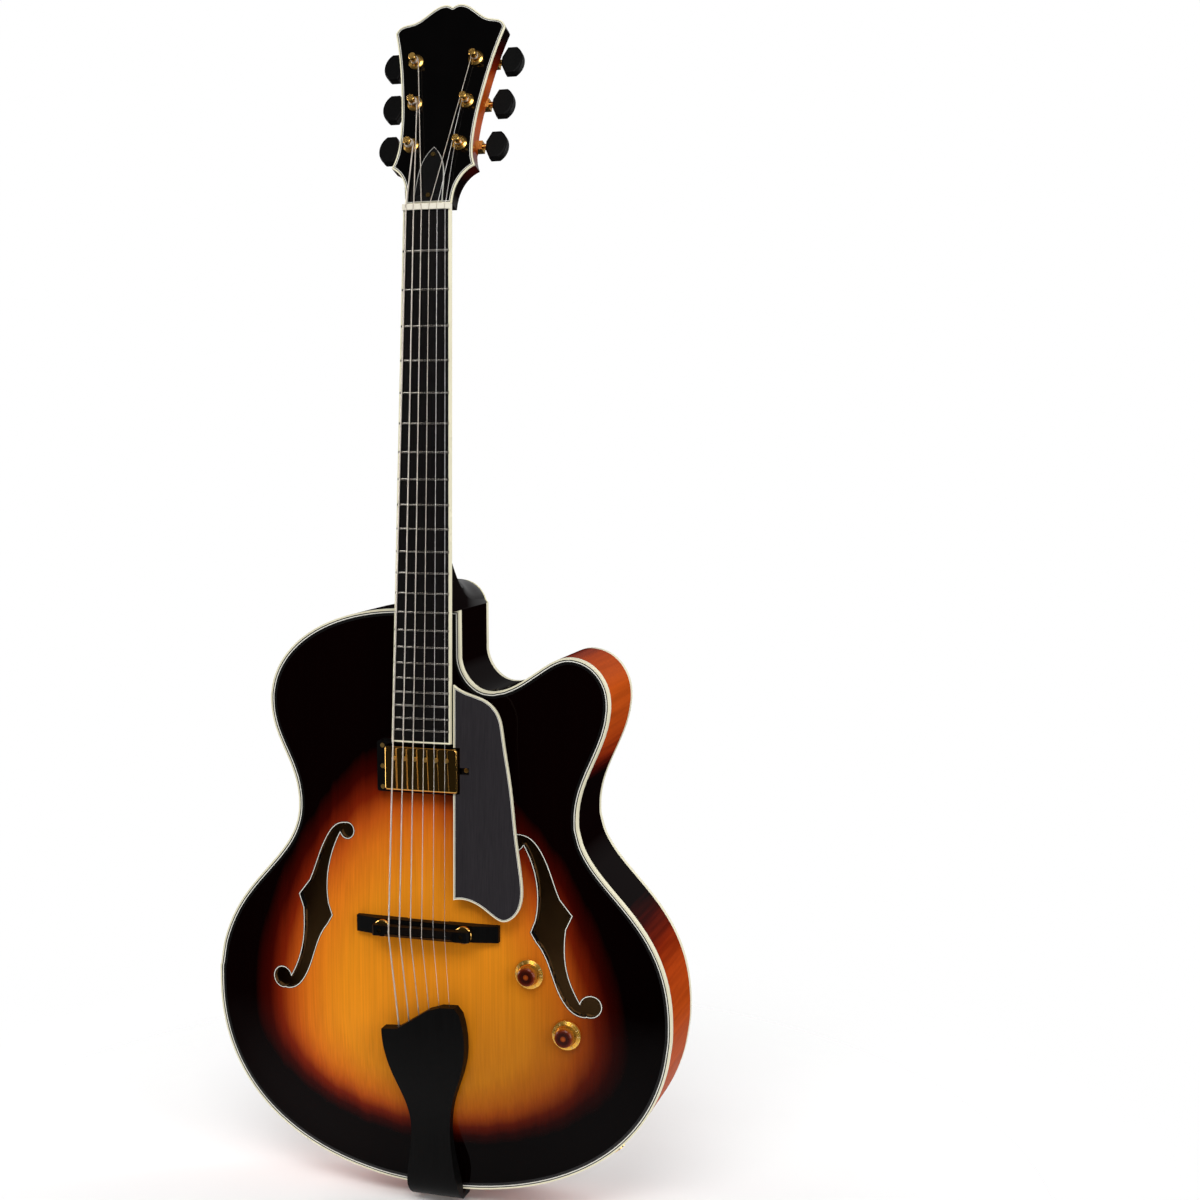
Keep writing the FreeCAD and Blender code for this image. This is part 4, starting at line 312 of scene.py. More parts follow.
def make_oval():
    """How far inside an oval a place is, seen from the front: 0 on its edge and 1 in its middle.

    Above the middle it can taper, or be drawn in at a waist.
    """
    sizes = {"Side": 0.0, "Middle": 0.2, "Reach": 0.2, "Up": 0.2, "Down": 0.2}
    bends = {"Lean": 0.0, "Taper": 0.0, "Waist": 0.0}
    inputs = [(name, "Float", value) for name, value in {**sizes, **bends}.items()]
    tree, entry, leave = effect("Burst Oval", [PLACE] + inputs, ["Share"])
    parts = apart(tree, entry["Vector"])
    rise = maths(tree, "SUBTRACT", parts["Z"], entry["Middle"])
    above = maths(tree, "DIVIDE", maths(tree, "MAXIMUM", rise, 0.0), entry["Up"])
    below = maths(tree, "DIVIDE", maths(tree, "MINIMUM", rise, 0.0), entry["Down"])
    along = maths(tree, "ADD", above, below)
    axis = maths(tree, "MULTIPLY_ADD", rise, entry["Lean"], entry["Side"])
    wide = maths(tree, "DIVIDE", maths(tree, "SUBTRACT", parts["X"], axis), entry["Reach"])
    wave = maths(tree, "SINE", maths(tree, "MULTIPLY", above, math.pi))
    drawn_in = maths(tree, "MULTIPLY_ADD", maths(tree, "MULTIPLY", wave, wave), entry["Waist"], 1.0)
    narrow = maths(tree, "MULTIPLY_ADD", maths(tree, "MULTIPLY", above, above), entry["Taper"], drawn_in)
    across = maths(tree, "MULTIPLY", wide, narrow)
    square = maths(tree, "MULTIPLY_ADD", across, across, maths(tree, "MULTIPLY", along, along))
    tree.links.new(maths(tree, "SUBTRACT", 1.0, maths(tree, "SQRT", square)), leave.inputs["Share"])
    return tree


def make_handling():
    """Faint unevenness of a handled surface: a cloud for its roughness and a fine one for its height."""
    limits = [("Low", "Float", 0.1), ("High", "Float", 0.2)]
    tree, entry, leave = effect("Handled Surface", [PLACE] + limits, ["Roughness", "Height"])
    cloud = noise(tree, entry["Vector"], 14.0, 4.0)
    rough = levelled(tree, cloud, entry["Low"], entry["High"], swing=0.2)
    tree.links.new(rough, leave.inputs["Roughness"])
    tree.links.new(noise(tree, entry["Vector"], 900.0, 2.0), leave.inputs["Height"])
    return tree


GRAIN = make_grain()
FLAME = make_flame()
OVAL = make_oval()
HANDLING = make_handling()


def raise_from(tree, shader, height, strength, distance=0.0002):
    """Bumps on a shader from a height."""
    bump = add(tree, "Bump", {"Strength": strength, "Distance": distance, "Height": height})
    drive(tree, shader, Normal=bump.outputs[0])


def polish(tree, shader, vector, low, high, strength=0.02):
    """Roughness and fine bumps of a handled surface on a shader."""
    surface = use(tree, HANDLING, Vector=vector, Low=low, High=high)
    drive(tree, shader, Roughness=surface["Roughness"])
    raise_from(tree, shader, surface["Height"], strength)


def lacquer(name, gloss=0.45):
    """A material of clear lacquer over stained wood."""
    return finish(name, Coat_Weight=gloss, Coat_Roughness=0.03, Coat_IOR=1.35, Specular_IOR_Level=0.0)


def raw_inside(tree, colour, outward):
    """The lacquered colour on the outer side of a plate and raw wood on its inner side."""
    turned_in = 0.3
    inward = maths(tree, "MULTIPLY", apart(tree, facing(tree))["Y"], -outward)
    return blended(tree, maths(tree, "GREATER_THAN", inward, turned_in), colour, RAW_WOOD)


# Finishes of the wood

def spruce_top():
    """Burst over spruce with fine upright grain.

    Shade is painted into the amber of the lower bout: it gets darker towards the tail on the treble side,
    where the light falls off.
    """
    slope, shade_end, shaded_tail_level, unshaded_level = -0.9, 0.24, 0.42, 1.02
    material, tree, shader = lacquer("spruce_burst_and_shade", 0.2)
    vector = coordinates(tree)
    parts = apart(tree, vector)
    grain = use(tree, GRAIN, Vector=vector, Stretch=(620.0, 620.0, 7.0))
    oval = use(tree, OVAL, Vector=vector, Side=0.002, Middle=0.172, Reach=0.197, Up=0.29, Down=0.118,
               Lean=-0.06, Taper=0.4)
    stain = ramp(tree, swayed(tree, oval["Share"], grain["Tone"], 0.05), TOP_BURST)
    # Painted shade: the colour darkens towards the tail on the treble side, standing in for light that falls
    # off there
    shade_slant = maths(tree, "MULTIPLY_ADD", parts["X"], slope, parts["Z"])
    painted_shade = spread(tree, shade_slant, 0.0, shade_end, shaded_tail_level, unshaded_level)
    level = maths(tree, "MULTIPLY", levelled(tree, grain["Streaks"], 1.12, 0.84), painted_shade)
    drive(tree, shader, Base_Color=raw_inside(tree, shaded(tree, stain, level), -1.0))
    polish(tree, shader, vector, 0.24, 0.36)
    return material


def maple_back():
    """Burst over two bookmatched halves of flamed maple."""
    mismatch, lean = 0.004, 0.06
    material, tree, shader = lacquer("maple_back")
    vector = coordinates(tree)
    parts = apart(tree, vector)
    folded = maths(tree, "ABSOLUTE", parts["X"])
    side = maths(tree, "MULTIPLY_ADD", maths(tree, "SIGN", parts["X"]), mismatch, parts["Z"])
    leaning = maths(tree, "MULTIPLY_ADD", folded, lean, side)
    book = add(tree, "CombineXYZ", {0: folded, 1: parts["Y"], 2: leaning}).outputs[0]
    flame = use(tree, FLAME, Vector=book, Stretch=(7.0, 7.0, 250.0))["Bands"]
    pores = use(tree, GRAIN, Vector=book, Stretch=(900.0, 900.0, 120.0))["Streaks"]
    oval = use(tree, OVAL, Vector=vector, Side=0.004, Middle=0.175, Reach=0.19, Up=0.32, Down=0.155,
               Taper=0.25, Waist=0.2)
    stain = ramp(tree, swayed(tree, oval["Share"], flame, 0.03), BACK_BURST)
    level = maths(tree, "MULTIPLY_ADD", flame, 0.26, levelled(tree, pores, 0.95, 0.78))
    drive(tree, shader, Base_Color=raw_inside(tree, shaded(tree, stain, level), 1.0))
    polish(tree, shader, vector, 0.22, 0.34)
    return material


def maple_rib():
    """Orange over flamed maple, dark at the waist, in the cutaway and at the neck."""
    neck_side, bout_side = 0.1, 0.15
    material, tree, shader = lacquer("maple_rib", 0.15)
    vector = coordinates(tree)
    flame = use(tree, FLAME, Vector=vector, Stretch=(170.0, 7.0, 170.0))["Bands"]
    pores = use(tree, GRAIN, Vector=vector, Stretch=(220.0, 1100.0, 220.0))["Streaks"]
    lower = use(tree, OVAL, Vector=vector, Middle=0.16, Reach=0.9, Up=0.145, Down=0.26)["Share"]
    upper = use(tree, OVAL, Vector=vector, Middle=0.485, Reach=0.9, Up=0.072, Down=0.09)["Share"]
    reach = spread(tree, maths(tree, "ABSOLUTE", apart(tree, vector)["X"]), neck_side, bout_side)
    share = maths(tree, "MAXIMUM", lower, maths(tree, "MULTIPLY", upper, reach))
    stain = ramp(tree, swayed(tree, share, flame, 0.04), RIB_BURST)
    level = maths(tree, "MULTIPLY_ADD", flame, 0.24, levelled(tree, pores, 0.98, 0.8))
    drive(tree, shader, Base_Color=shaded(tree, stain, level))
    polish(tree, shader, vector, 0.22, 0.32)
    return material


def maple_neck():
    """Burst along the neck: amber half way, black at the heel and the throat, brown behind the head."""
    neck_share, head_share, head_edge = 0.75, 0.27, 0.6
    material, tree, shader = lacquer("maple_neck", 1.0)
    vector = coordinates(tree)
    grain = use(tree, GRAIN, Vector=vector, Stretch=(700.0, 700.0, 18.0))
    flame = use(tree, FLAME, Vector=vector, Stretch=(10.0, 10.0, 190.0))["Bands"]
    middle = use(tree, OVAL, Vector=vector, Middle=0.757, Reach=0.8, Up=0.105, Down=0.125)["Share"]
    head = use(tree, OVAL, Vector=vector, Middle=0.99, Reach=0.3, Up=0.085, Down=0.07)["Share"]
    lit_head = maths(tree, "MULTIPLY", spread(tree, head, 0.0, head_edge), head_share)
    share = maths(tree, "MAXIMUM", maths(tree, "MULTIPLY", middle, neck_share), lit_head)
    level = maths(tree, "MULTIPLY_ADD", flame, 0.14, levelled(tree, grain["Streaks"], 1.05, 0.85))
    drive(tree, shader, Base_Color=shaded(tree, ramp(tree, share, TOP_BURST), level))
    polish(tree, shader, vector, 0.18, 0.28)
    return material


def ebony(name, dark, light, low, high):
    """Black wood with fine upright pores and a satin surface."""
    material, tree, shader = finish(name, Specular_IOR_Level=0.06)
    vector = coordinates(tree)
    grain = use(tree, GRAIN, Vector=vector, Stretch=(1400.0, 1400.0, 26.0))
    streak = spread(tree, grain["Streaks"], 0.35, 0.7)
    tone = maths(tree, "MULTIPLY_ADD", grain["Tone"], 0.5, maths(tree, "MULTIPLY", streak, 0.5))
    drive(tree, shader, Base_Color=blended(tree, tone, dark, light),
          Roughness=levelled(tree, grain["Streaks"], low, high))
    raise_from(tree, shader, grain["Streaks"], 0.12)
    return material


# Finishes of plastic, bone and metal

def clouded(name, colour, second, low, high, scale=60.0, strength=0.03, **settings):
    """A moulded, plated or polished surface with a faint cloud of a second colour."""
    material, tree, shader = finish(name, **settings)
    vector = coordinates(tree)
    drive(tree, shader, Base_Color=blended(tree, noise(tree, vector, scale, 4.0), colour, second))
    polish(tree, shader, vector, low, high, strength)
    return material


def grained_cream():
    """Cream plastic with faint lines along it, like ivory."""
    material, tree, shader = finish("cream_cap", Specular_IOR_Level=0.4)
    vector = coordinates(tree)
    lines = use(tree, GRAIN, Vector=vector, Stretch=(14.0, 14.0, 700.0))["Streaks"]
    share = levelled(tree, lines, 0.0, 1.0, swing=0.15)
    drive(tree, shader, Base_Color=blended(tree, share, seen(226, 220, 184), seen(206, 198, 150)))
    polish(tree, shader, vector, 0.22, 0.34)
    return material


def layered(name, plies):
    """Binding of glued layers: the colour steps across the strip, from the wood to the free edge."""
    deep_from = 0.3
    material, tree, shader = finish(name, Specular_IOR_Level=0.35)
    vector = coordinates(tree)
    across, depth = (add(tree, "Attribute", attribute_name=mark).outputs["Fac"] for mark in ("ply", "deep"))
    deep = maths(tree, "GREATER_THAN", depth, deep_from)
    colour = blended(tree, deep, ramp(tree, across, plies, "CONSTANT"), HOLE_PLY)
    level = levelled(tree, noise(tree, vector, 30.0), 0.92, 1.04)
    drive(tree, shader, Base_Color=shaded(tree, colour, level))
    polish(tree, shader, vector, 0.25, 0.38)
    return material


def wound_wire():
    """Round-wound string with fine turns along its length and painted shade in the grooves between them."""
    material, tree, shader = finish("wound_wire", Metallic=1.0)
    vector = coordinates(tree)
    turns = add(tree, "TexWave", {"Vector": vector, "Scale": 620.0}, bands_direction="Z").outputs["Fac"]
    # Painted shade: the darker colour between the turns stands in for shade in the grooves
    drive(tree, shader, Base_Color=blended(tree, turns, seen(176, 164, 150), seen(240, 232, 222)),
          Roughness=spread(tree, turns, 0.0, 1.0, 0.5, 0.34))
    raise_from(tree, shader, turns, 0.4)
    return material


def amber_knob(node):
    """Clear amber knob: gold under its skirt, painted shade down its bore and the bright tip of its shaft.
    """
    gold_start, ring_count = 0.05, 90.0
    material, tree, shader = finish(node + "_amber", Coat_Weight=0.15, Coat_Roughness=0.04,
                                    Specular_IOR_Level=0.12)
    vector = coordinates(tree)
    low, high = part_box(node)
    parts = apart(tree, vector)
    across = maths(tree, "SUBTRACT", parts["X"], (low[0] + high[0]) / 2)
    along = maths(tree, "SUBTRACT", parts["Z"], (low[2] + high[2]) / 2)
    square = maths(tree, "MULTIPLY_ADD", across, across, maths(tree, "MULTIPLY", along, along))
    share = maths(tree, "DIVIDE", maths(tree, "SQRT", square), KNOB_SKIRT)
    mottling = levelled(tree, noise(tree, vector, 160.0), 0.86, 1.1, swing=0.2)
    # The dark rings of KNOB_RINGS round the bore are painted shade
    drive(tree, shader, Base_Color=shaded(tree, ramp(tree, share, KNOB_RINGS), mottling),
          Metallic=spread(tree, share, CAP_SHARE, CAP_SHARE + gold_start, 0.0, 0.85),
          Roughness=levelled(tree, noise(tree, vector, 90.0), 0.2, 0.32, swing=0.2))
    rings = maths(tree, "SINE", maths(tree, "MULTIPLY", share, ring_count))
    raise_from(tree, shader, rings, 0.12)
    return material


def polish_apart(tree, shader, vector, low, high, mask, change):
    """Roughness and fine bumps of a handled surface, with the roughness changed where a mask is on."""
    surface = use(tree, HANDLING, Vector=vector, Low=low, High=high)
    drive(tree, shader, Roughness=maths(tree, "MULTIPLY_ADD", mask, change, surface["Roughness"]))
    raise_from(tree, shader, surface["Height"], 0.03)


def tuner_gold():
    """Gold plate, polished on the arms of the tuner housings and satin on their round lids."""
    material, tree, shader = finish("tuner_gold")
    vector = coordinates(tree)
    depths = [vertex.co.dot(HEAD_FRONT) for vertex in nodes["tuner_housings"].data.vertices]
    lid = maths(tree, "LESS_THAN", measured(tree, vector, HEAD_FRONT), min(depths) + LID_RISE)
    plate = blended(tree, noise(tree, vector, 60.0, 4.0), *PLATED)
    satin = blended(tree, noise(tree, vector, 900.0), *LID_SATIN)
    drive(tree, shader, Base_Color=blended(tree, lid, plate, satin),
          Metallic=spread(tree, lid, 0.0, 1.0, 1.0, 0.3))
    polish_apart(tree, shader, vector, 0.14, 0.24, lid, 0.26)
    return material


def screw_gold():
    """Gold screws, satin on the body and polished on the head."""
    material, tree, shader = finish("screw_gold", Metallic=1.0)
    vector = coordinates(tree)
    on_head = maths(tree, "GREATER_THAN", apart(tree, vector)["Z"], NUT_HEIGHT)
    drive(tree, shader, Base_Color=blended(tree, noise(tree, vector, 60.0, 4.0), *WORN))
    polish_apart(tree, shader, vector, 0.32, 0.42, on_head, -0.22)
    return material


def edged_black():
    """Black plastic plate with the white layer that shows along its cut edge."""
    edge_on = 0.5
    material, tree, shader = finish("edged_black", Specular_IOR_Level=0.1)
    vector = coordinates(tree)
    frontal = maths(tree, "ABSOLUTE", measured(tree, facing(tree), HEAD_FRONT))
    edge = maths(tree, "LESS_THAN", frontal, edge_on)
    face = blended(tree, noise(tree, vector, 80.0), seen(9, 9, 9), seen(15, 14, 14))
    drive(tree, shader, Base_Color=blended(tree, edge, face, WHITE_PLY))
    polish(tree, shader, vector, 0.24, 0.36)
    return material


def finishes():
    """Every finish with the nodes that take it."""
    worms_and_posts = [kind % key for key in KEYS for kind in ("worm_shaft_%d", "string_post_%d")]
    buttons = ["tuner_button_%d" % key for key in KEYS]
    return (
        (spruce_top(), ["top_plate"]),
        (maple_back(), ["back_plate"]),
        (maple_rib(), RIBS),
        (maple_neck(), ["neck"]),
        (clouded("raw_wood", RAW_WOOD, seen(144, 106, 65), 0.6, 0.75), ["end_blocks", "linings_and_bars"]),
        (ebony("board_ebony", seen(5, 4, 4), seen(22, 20, 20), 0.42, 0.58), ["fingerboard"]),
        (ebony("satin_ebony", seen(3, 3, 3), seen(13, 12, 12), 0.36, 0.52),
         ["bridge_base", "bridge_saddle", "tailpiece", "pickguard_support"] + buttons),
        (ebony("guard_ebony", seen(34, 32, 35), seen(48, 45, 48), 0.5, 0.62), ["pickguard"]),
        (clouded("black_lacquer", seen(2, 2, 2), seen(5, 4, 4), 0.14, 0.22, Coat_Weight=1.0,
                 Coat_Roughness=0.03, Coat_IOR=1.35, Specular_IOR_Level=0.05), ["headstock_overlay"]),
        (clouded("black_plastic", seen(8, 8, 8), seen(15, 14, 14), 0.22, 0.36, Specular_IOR_Level=0.12),
         ["pickup_ring"]),
        (edged_black(), ["truss_rod_cover"]),
        (clouded("bone", seen(214, 208, 190), seen(228, 222, 206), 0.3, 0.42, 300.0), ["nut"]),
        (grained_cream(), ["heel_cap"]),
        (clouded("gold_plate", *PLATED, 0.2, 0.32, Metallic=1.0),
         ["thumbwheel_bass", "thumbwheel_treble", "tail_hanger", "end_pin", "output_jack", "tuner_bushings"]
         + worms_and_posts),
        (tuner_gold(), ["tuner_housings"]),
        (clouded("mirror_gold", seen(232, 184, 100), seen(214, 160, 78), 0.05, 0.09, Metallic=1.0),
         ["pickup_cover"]),
        (screw_gold(), ["pole_screws", "wood_screws"]),
        (clouded("dark_brass", seen(70, 56, 34), seen(44, 36, 24), 0.3, 0.45, Metallic=1.0),
         ["bridge_posts"]),
        (clouded("fret_metal", seen(164, 159, 152), seen(140, 136, 128), 0.2, 0.3, Metallic=1.0), ["frets"]),
        (clouded("plain_steel", seen(238, 234, 232), seen(218, 214, 212), 0.28, 0.38, 400.0, Metallic=1.0),
         ["plain_strings", "truss_rod", "potentiometers"]),
        (clouded("coil_plastic", seen(16, 15, 15), seen(26, 25, 24), 0.5, 0.65), ["pickup_coils"]),
        (wound_wire(), ["wound_strings"]),
        (amber_knob("volume_knob"), ["volume_knob"]),
        (amber_knob("tone_knob"), ["tone_knob"]),
    )


def cover(mesh, material):
    """Gives a mesh one material."""
    mesh.materials.clear()
    mesh.materials.append(material)


def dress():
    """Gives every node of the CAD model its finish, apart from the bindings."""
    for material, names in finishes():
        for name in names:
            cover(nodes[name].data, material)


# Layered bindings

def tree_of(*names):
    """One search tree over the faces of several nodes."""
    vertices, faces = [], []
    for name in names:
        mesh = nodes[name].data
        start = len(vertices)
        vertices.extend(vertex.co for vertex in mesh.vertices)
        faces.extend([start + index for index in face.vertices] for face in mesh.polygons)
    return BVHTree.FromPolygons(vertices, faces)


def gap_to(tree, point):
    """Distance from a point to the nearest face in a search tree."""
    return tree.find_nearest(point)[3]


def ply_strip(node, name, material, share_at):
    """A copy of a binding whose vertices know their share of the way across the layers and their depth."""
    mesh = nodes[node].data.copy()
    ply = mesh.attributes.new("ply", "FLOAT", "POINT")
    deep = mesh.attributes.new("deep", "FLOAT", "POINT")
    for vertex in mesh.vertices:
        share, in_hole = share_at(vertex.co)
        ply.data[vertex.index].value = share
        deep.data[vertex.index].value = 1.0 if in_hole and vertex.normal.y > 0 else 0.0
    cover(mesh, material)
    strip = bpy.data.objects.new(name, mesh)
    bpy.context.collection.objects.link(strip)
    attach(strip, ROOT)
    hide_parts(node)


def half_share(gap, width, second):
    """A share of the first half of the layer steps, or of their second half."""
    return min(gap / width, 0.999) / 2 + (0.5 if second else 0.0)


def bind():
    """The layered bindings of the body, the sound holes, the neck and the guard."""
    plates = tree_of("top_plate", "back_plate")
    ribs = tree_of(*RIBS)
    board = tree_of("fingerboard")
    overlay = tree_of("headstock_overlay")
    guard = tree_of("pickguard")

    def body_share(point):
        at_hole = gap_to(ribs, point) > 3 * BODY_BINDING
        width = SOUND_HOLE_BINDING if at_hole else BODY_BINDING
        return half_share(gap_to(plates, point), width, at_hole), at_hole

    def neck_share(point):
        on_head = point.z > NUT_HEIGHT + HEAD_BINDING
        tree, width = (overlay, HEAD_BINDING) if on_head else (board, BOARD_BINDING)
        return half_share(gap_to(tree, point), width, on_head), False

    def guard_share(point):
        return min(gap_to(guard, point) / GUARD_BINDING, 1.0), False

    ply_strip("body_bindings", "body_plies", layered("body_layers", BODY_PLIES), body_share)
    ply_strip("neck_bindings", "neck_plies", layered("neck_layers", NECK_PLIES), neck_share)
    ply_strip("pickguard_binding", "guard_plies", layered("guard_layers", GUARD_PLIES), guard_share)


# Marks

def fixed_piece(name, vertices, faces, material, body):
    """A small mesh that rides on a body."""
    mesh = bpy.data.meshes.new(name)
    mesh.from_pydata(vertices, [], faces)
    cover(mesh, material)
    thing = bpy.data.objects.new(name, mesh)
    bpy.context.collection.objects.link(thing)
    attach(thing, body)
    return thing


def fret_place(fret):
    """Distance of a fret from the saddle along the strings."""
    return SCALE_LENGTH * 2 ** (-fret / 12)


def side_dots():
    """Black position dots in the edge of the board, on the side that the player sees."""
    edge = tree_of("neck_bindings")
    vertices, faces = [], []
    for fret in DOT_FRETS:
        middle = (fret_place(fret - 1) + fret_place(fret)) / 2
        offsets = (-DOUBLE_DOT_OFFSET, DOUBLE_DOT_OFFSET) if fret == DOUBLE_DOT_FRET else (0.0,)
        for offset in offsets:
            height = SADDLE_HEIGHT + (middle + offset) * math.cos(NECK_PITCH)
            starts = [Vector((BESIDE_BOARD, depth, height)) for depth in BOARD_DEPTHS]
            hits = [edge.ray_cast(start, Vector((1, 0, 0))) for start in starts]
            spots = [(hit[0], hit[1]) for hit in hits if hit[0] is not None and hit[0].x < 0]
            spot, outward = spots[len(spots) // 2]
            first = len(vertices)
            for turn in range(DOT_SIDES):
                angle = turn * math.tau / DOT_SIDES
                ring = Vector((0, math.cos(angle), math.sin(angle))) * DOT_RADIUS
                vertices.append(spot + ring + outward * DOT_LIFT)
            faces.append(list(range(first, first + DOT_SIDES)))
    material = clouded("dot_plastic", seen(10, 10, 10), seen(20, 19, 19), 0.3, 0.45)
    fixed_piece("side_dots", vertices, faces, material, ROOT)


def cover_line():
    """The white layer that shows as a thin line round the face of the truss rod cover."""
    frontal = 0.9
    mesh = nodes["truss_rod_cover"].data
    uses = {}
    for face in mesh.polygons:
        if face.normal.dot(HEAD_FRONT) > frontal:
            for edge in face.edge_keys:
                uses[edge] = uses.get(edge, 0) + 1
    low, high = (Vector(corner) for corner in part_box("truss_rod_cover"))
    middle = (low + high) / 2
    lift = HEAD_FRONT * COVER_LINE_LIFT
    vertices, faces = [], []
    for edge, count in uses.items():
        ends = [mesh.vertices[index].co for index in edge]
        near_axis = max(abs(end.x - middle.x) for end in ends) < COVER_SCREW_ROOM
        inside = low.z + COVER_END_ROOM < ends[0].z < high.z - COVER_END_ROOM
        if count == 2 or (near_axis and inside):
            continue
        inner = [end + (middle - end).normalized() * COVER_LINE_WIDTH for end in ends]
        start = len(vertices)
        vertices.extend(corner + lift for corner in (*ends, inner[1], inner[0]))
        faces.append(list(range(start, start + 4)))
    material = clouded("cover_line", seen(178, 176, 170), seen(154, 152, 146), 0.35, 0.5)
    fixed_piece("cover_line", vertices, faces, material, ROOT)


def knob_numbers(node):
    """Numbers 0 to 10 round the skirt of a knob."""
    low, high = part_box(node)
    centre = Vector(((low[0] + high[0]) / 2, low[1] + KNOB_RISE, (low[2] + high[2]) / 2))
    slope = math.atan2(SKIRT_DROP, KNOB_SKIRT - KNOB_CAP_FOOT)
    reach = (KNOB_SKIRT + KNOB_CAP_FOOT) / 2
    out = Matrix.Translation((0, -SKIRT_MIDDLE - NUMBER_LIFT, reach))
    lean = Matrix.Rotation(-slope, 4, "X")
    upright = Matrix.Rotation(math.radians(90), 4, "X")
    vertices, faces = [], []
    for number in NUMBERS:
        curve = bpy.data.curves.new("%s_number_%d" % (node, number), "FONT")
        curve.body = str(number)
        curve.align_x, curve.align_y = "CENTER", "CENTER"
        curve.size = NUMBER_SIZE
        letter = bpy.data.objects.new(curve.name, curve)
        mesh = bpy.data.meshes.new_from_object(letter)
        turn = Matrix.Rotation(math.radians(FIRST_NUMBER_ANGLE - NUMBER_STEP * number), 4, "Y")
        move = Matrix.Translation(centre) @ turn @ out @ lean @ upright
        start = len(vertices)
        vertices.extend(move @ vertex.co for vertex in mesh.vertices)
        faces.extend([start + index for index in face.vertices] for face in mesh.polygons)
        bpy.data.meshes.remove(mesh)
        bpy.data.objects.remove(letter)
        bpy.data.curves.remove(curve)
    material = clouded(node + "_numbers", seen(214, 184, 128), seen(196, 160, 100), 0.4, 0.5)
    fixed_piece(node + "_numbers", vertices, faces, material, node)


# Studio

AIM = (0.0, 0.0, 0.45)
# Each lamp's name, place, width and height in metres, and power in watts
LAMPS = (
    ("right_front", (1.7, -1.05, 0.9), (0.7, 1.8), 21.0),
    ("left_side", (-2.0, -0.3, 0.7), (0.5, 1.8), 24.0),
    ("above_front", (0.3, -1.9, 2.2), (1.8, 0.9), 38.0),
    ("right_back", (1.6, 1.3, 0.9), (0.5, 1.8), 22.0),
    ("left_back", (-1.6, 1.3, 0.9), (0.5, 1.8), 22.0),
)
BACKDROP_SIDES = (0.1, 0.5)
BACKDROP_FOOT = (0.0, 0.2)
BACKDROP_IN_GLOSS = 0.4
ROOM_LIGHT = 0.3
ROOM_IN_GLOSS = 0.02
FLOOR_RADIUS = 0.8
FLOOR_SIDES = 64
FLOOR_FADE = (0.2, 0.75)
CAMERA_PLACE = (0.5827, -1.4464, 0.7203)
CAMERA_ANGLES = (84.0483, 0.1431, 16.7877)
CAMERA_LENS = 51.16
CAMERA_SENSOR = 36.0
CAMERA_CLIP = (0.05, 100.0)


def lamps():
    """Soft lamps: the strongest high in front, a tall one at each side and two tall ones behind."""
    for name, place, size, power in LAMPS:
        lamp = bpy.data.lights.new(name, "AREA")
        lamp.shape = "RECTANGLE"
        lamp.size, lamp.size_y = size
        lamp.energy = power
        holder = bpy.data.objects.new(name, lamp)
        holder.location = place
        holder.rotation_euler = (Vector(AIM) - Vector(place)).to_track_quat("-Z", "Y").to_euler()
        bpy.context.collection.objects.link(holder)


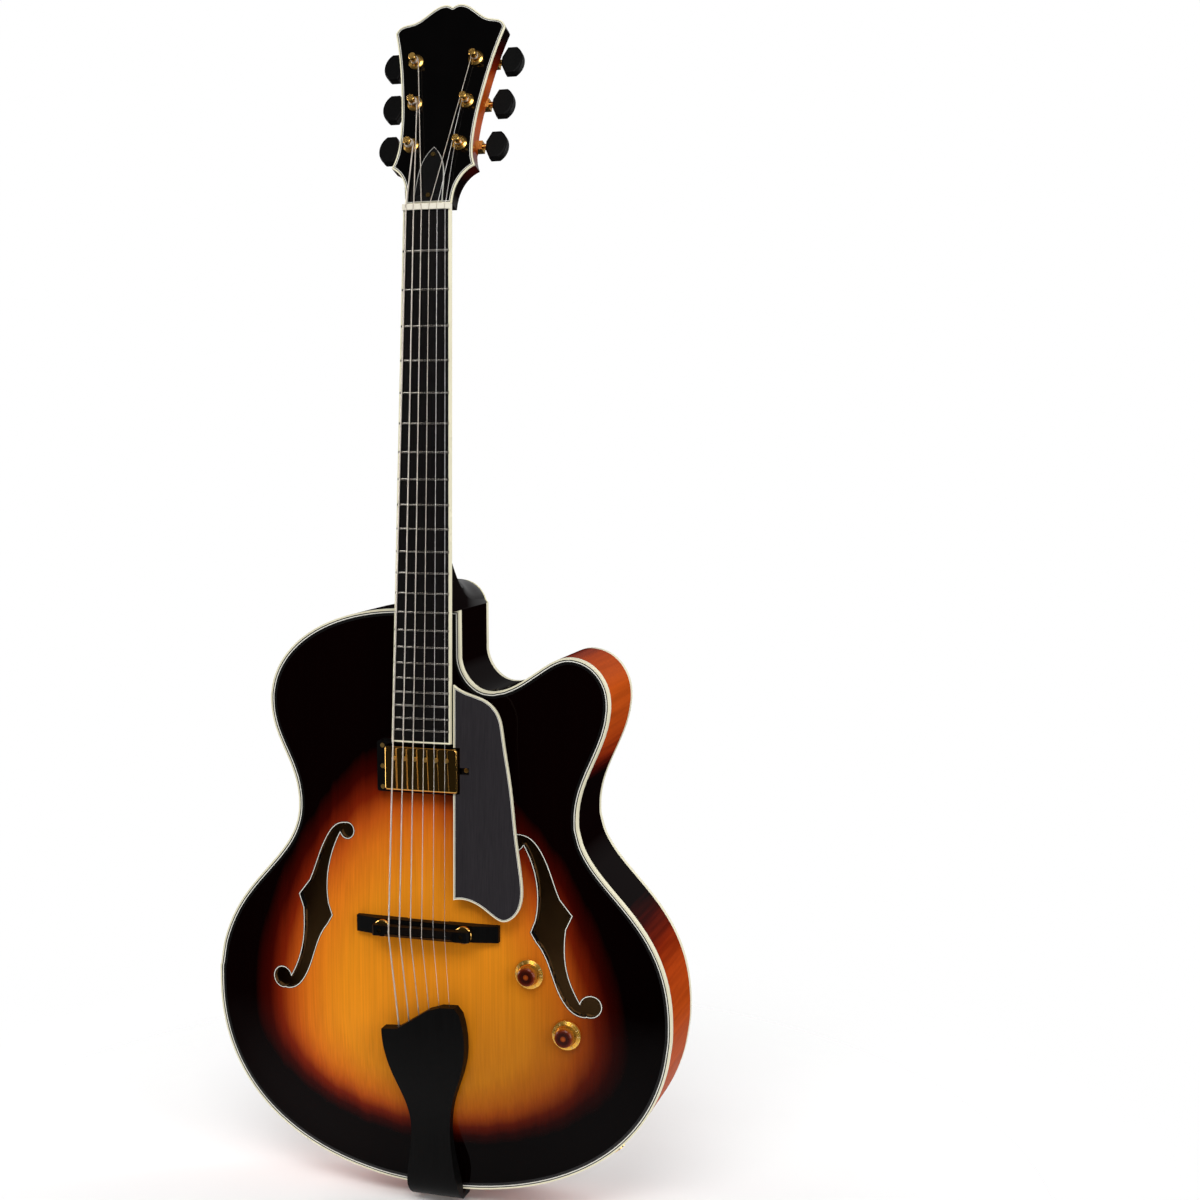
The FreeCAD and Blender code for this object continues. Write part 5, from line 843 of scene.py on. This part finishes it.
def white_room():
    """A white backdrop that the camera sees and the metal sees dimly, in a room of even light."""
    world = bpy.data.worlds.new("white_room")
    bpy.context.scene.world = world
    world.use_nodes = True
    tree = world.node_tree
    path = add(tree, "LightPath").outputs
    way = apart(tree, add(tree, "TexCoord").outputs["Generated"])
    behind = spread(tree, way["Y"], *BACKDROP_SIDES)
    upright = maths(tree, "MULTIPLY", behind, spread(tree, way["Z"], *BACKDROP_FOOT))
    backdrop = maths(tree, "MULTIPLY", upright, BACKDROP_IN_GLOSS)
    mirrored = maths(tree, "MULTIPLY", path["Is Glossy Ray"], backdrop)
    direct = maths(tree, "MAXIMUM", path["Is Camera Ray"], path["Is Transmission Ray"])
    white = maths(tree, "MAXIMUM", direct, mirrored)
    room = spread(tree, path["Is Glossy Ray"], 0.0, 1.0, ROOM_LIGHT, ROOM_IN_GLOSS)
    background = tree.nodes["Background"]
    background.inputs["Color"].default_value = (1.0, 1.0, 1.0, 1.0)
    tree.links.new(maths(tree, "MAXIMUM", white, room), background.inputs["Strength"])


def pale_floor():
    """A round pale floor that keeps the shadow and fades out into the white."""
    angles = [math.tau * turn / FLOOR_SIDES for turn in range(FLOOR_SIDES)]
    ring = [(FLOOR_RADIUS * math.cos(angle), FLOOR_RADIUS * math.sin(angle), 0.0) for angle in angles]
    mesh = bpy.data.meshes.new("floor")
    mesh.from_pydata(ring, [], [list(range(FLOOR_SIDES))])
    floor = bpy.data.objects.new("floor", mesh)
    bpy.context.collection.objects.link(floor)
    material, tree, shader = finish("pale_floor", Roughness=0.9, Specular_IOR_Level=0.1)
    vector = coordinates(tree)
    colour = blended(tree, noise(tree, vector, 6.0), seen(244, 244, 244), seen(240, 240, 240))
    drive(tree, shader, Base_Color=colour)
    away = add(tree, "VectorMath", {0: vector}, operation="LENGTH").outputs["Value"]
    start, end = FLOOR_FADE
    fade = add(tree, "MapRange", {"Value": away, "From Min": start, "From Max": end},
               interpolation_type="SMOOTHSTEP")
    clear = add(tree, "BsdfTransparent")
    mixed = add(tree, "MixShader", {0: fade.outputs[0], 1: shader.outputs[0], 2: clear.outputs[0]})
    tree.links.new(mixed.outputs[0], tree.nodes["Material Output"].inputs["Surface"])
    cover(mesh, material)


def camera():
    """The camera at the photograph's place."""
    data = bpy.data.cameras.new("camera")
    data.sensor_width = CAMERA_SENSOR
    data.lens = CAMERA_LENS
    data.clip_start, data.clip_end = CAMERA_CLIP
    holder = bpy.data.objects.new("camera", data)
    holder.location = CAMERA_PLACE
    holder.rotation_euler = Euler([math.radians(angle) for angle in CAMERA_ANGLES])
    bpy.context.collection.objects.link(holder)
    bpy.context.scene.camera = holder


dress()
bind()
side_dots()
cover_line()
knob_numbers("volume_knob")
knob_numbers("tone_knob")
white_room()
pale_floor()
lamps()
camera()
bpy.context.scene.view_settings.view_transform = "Standard"
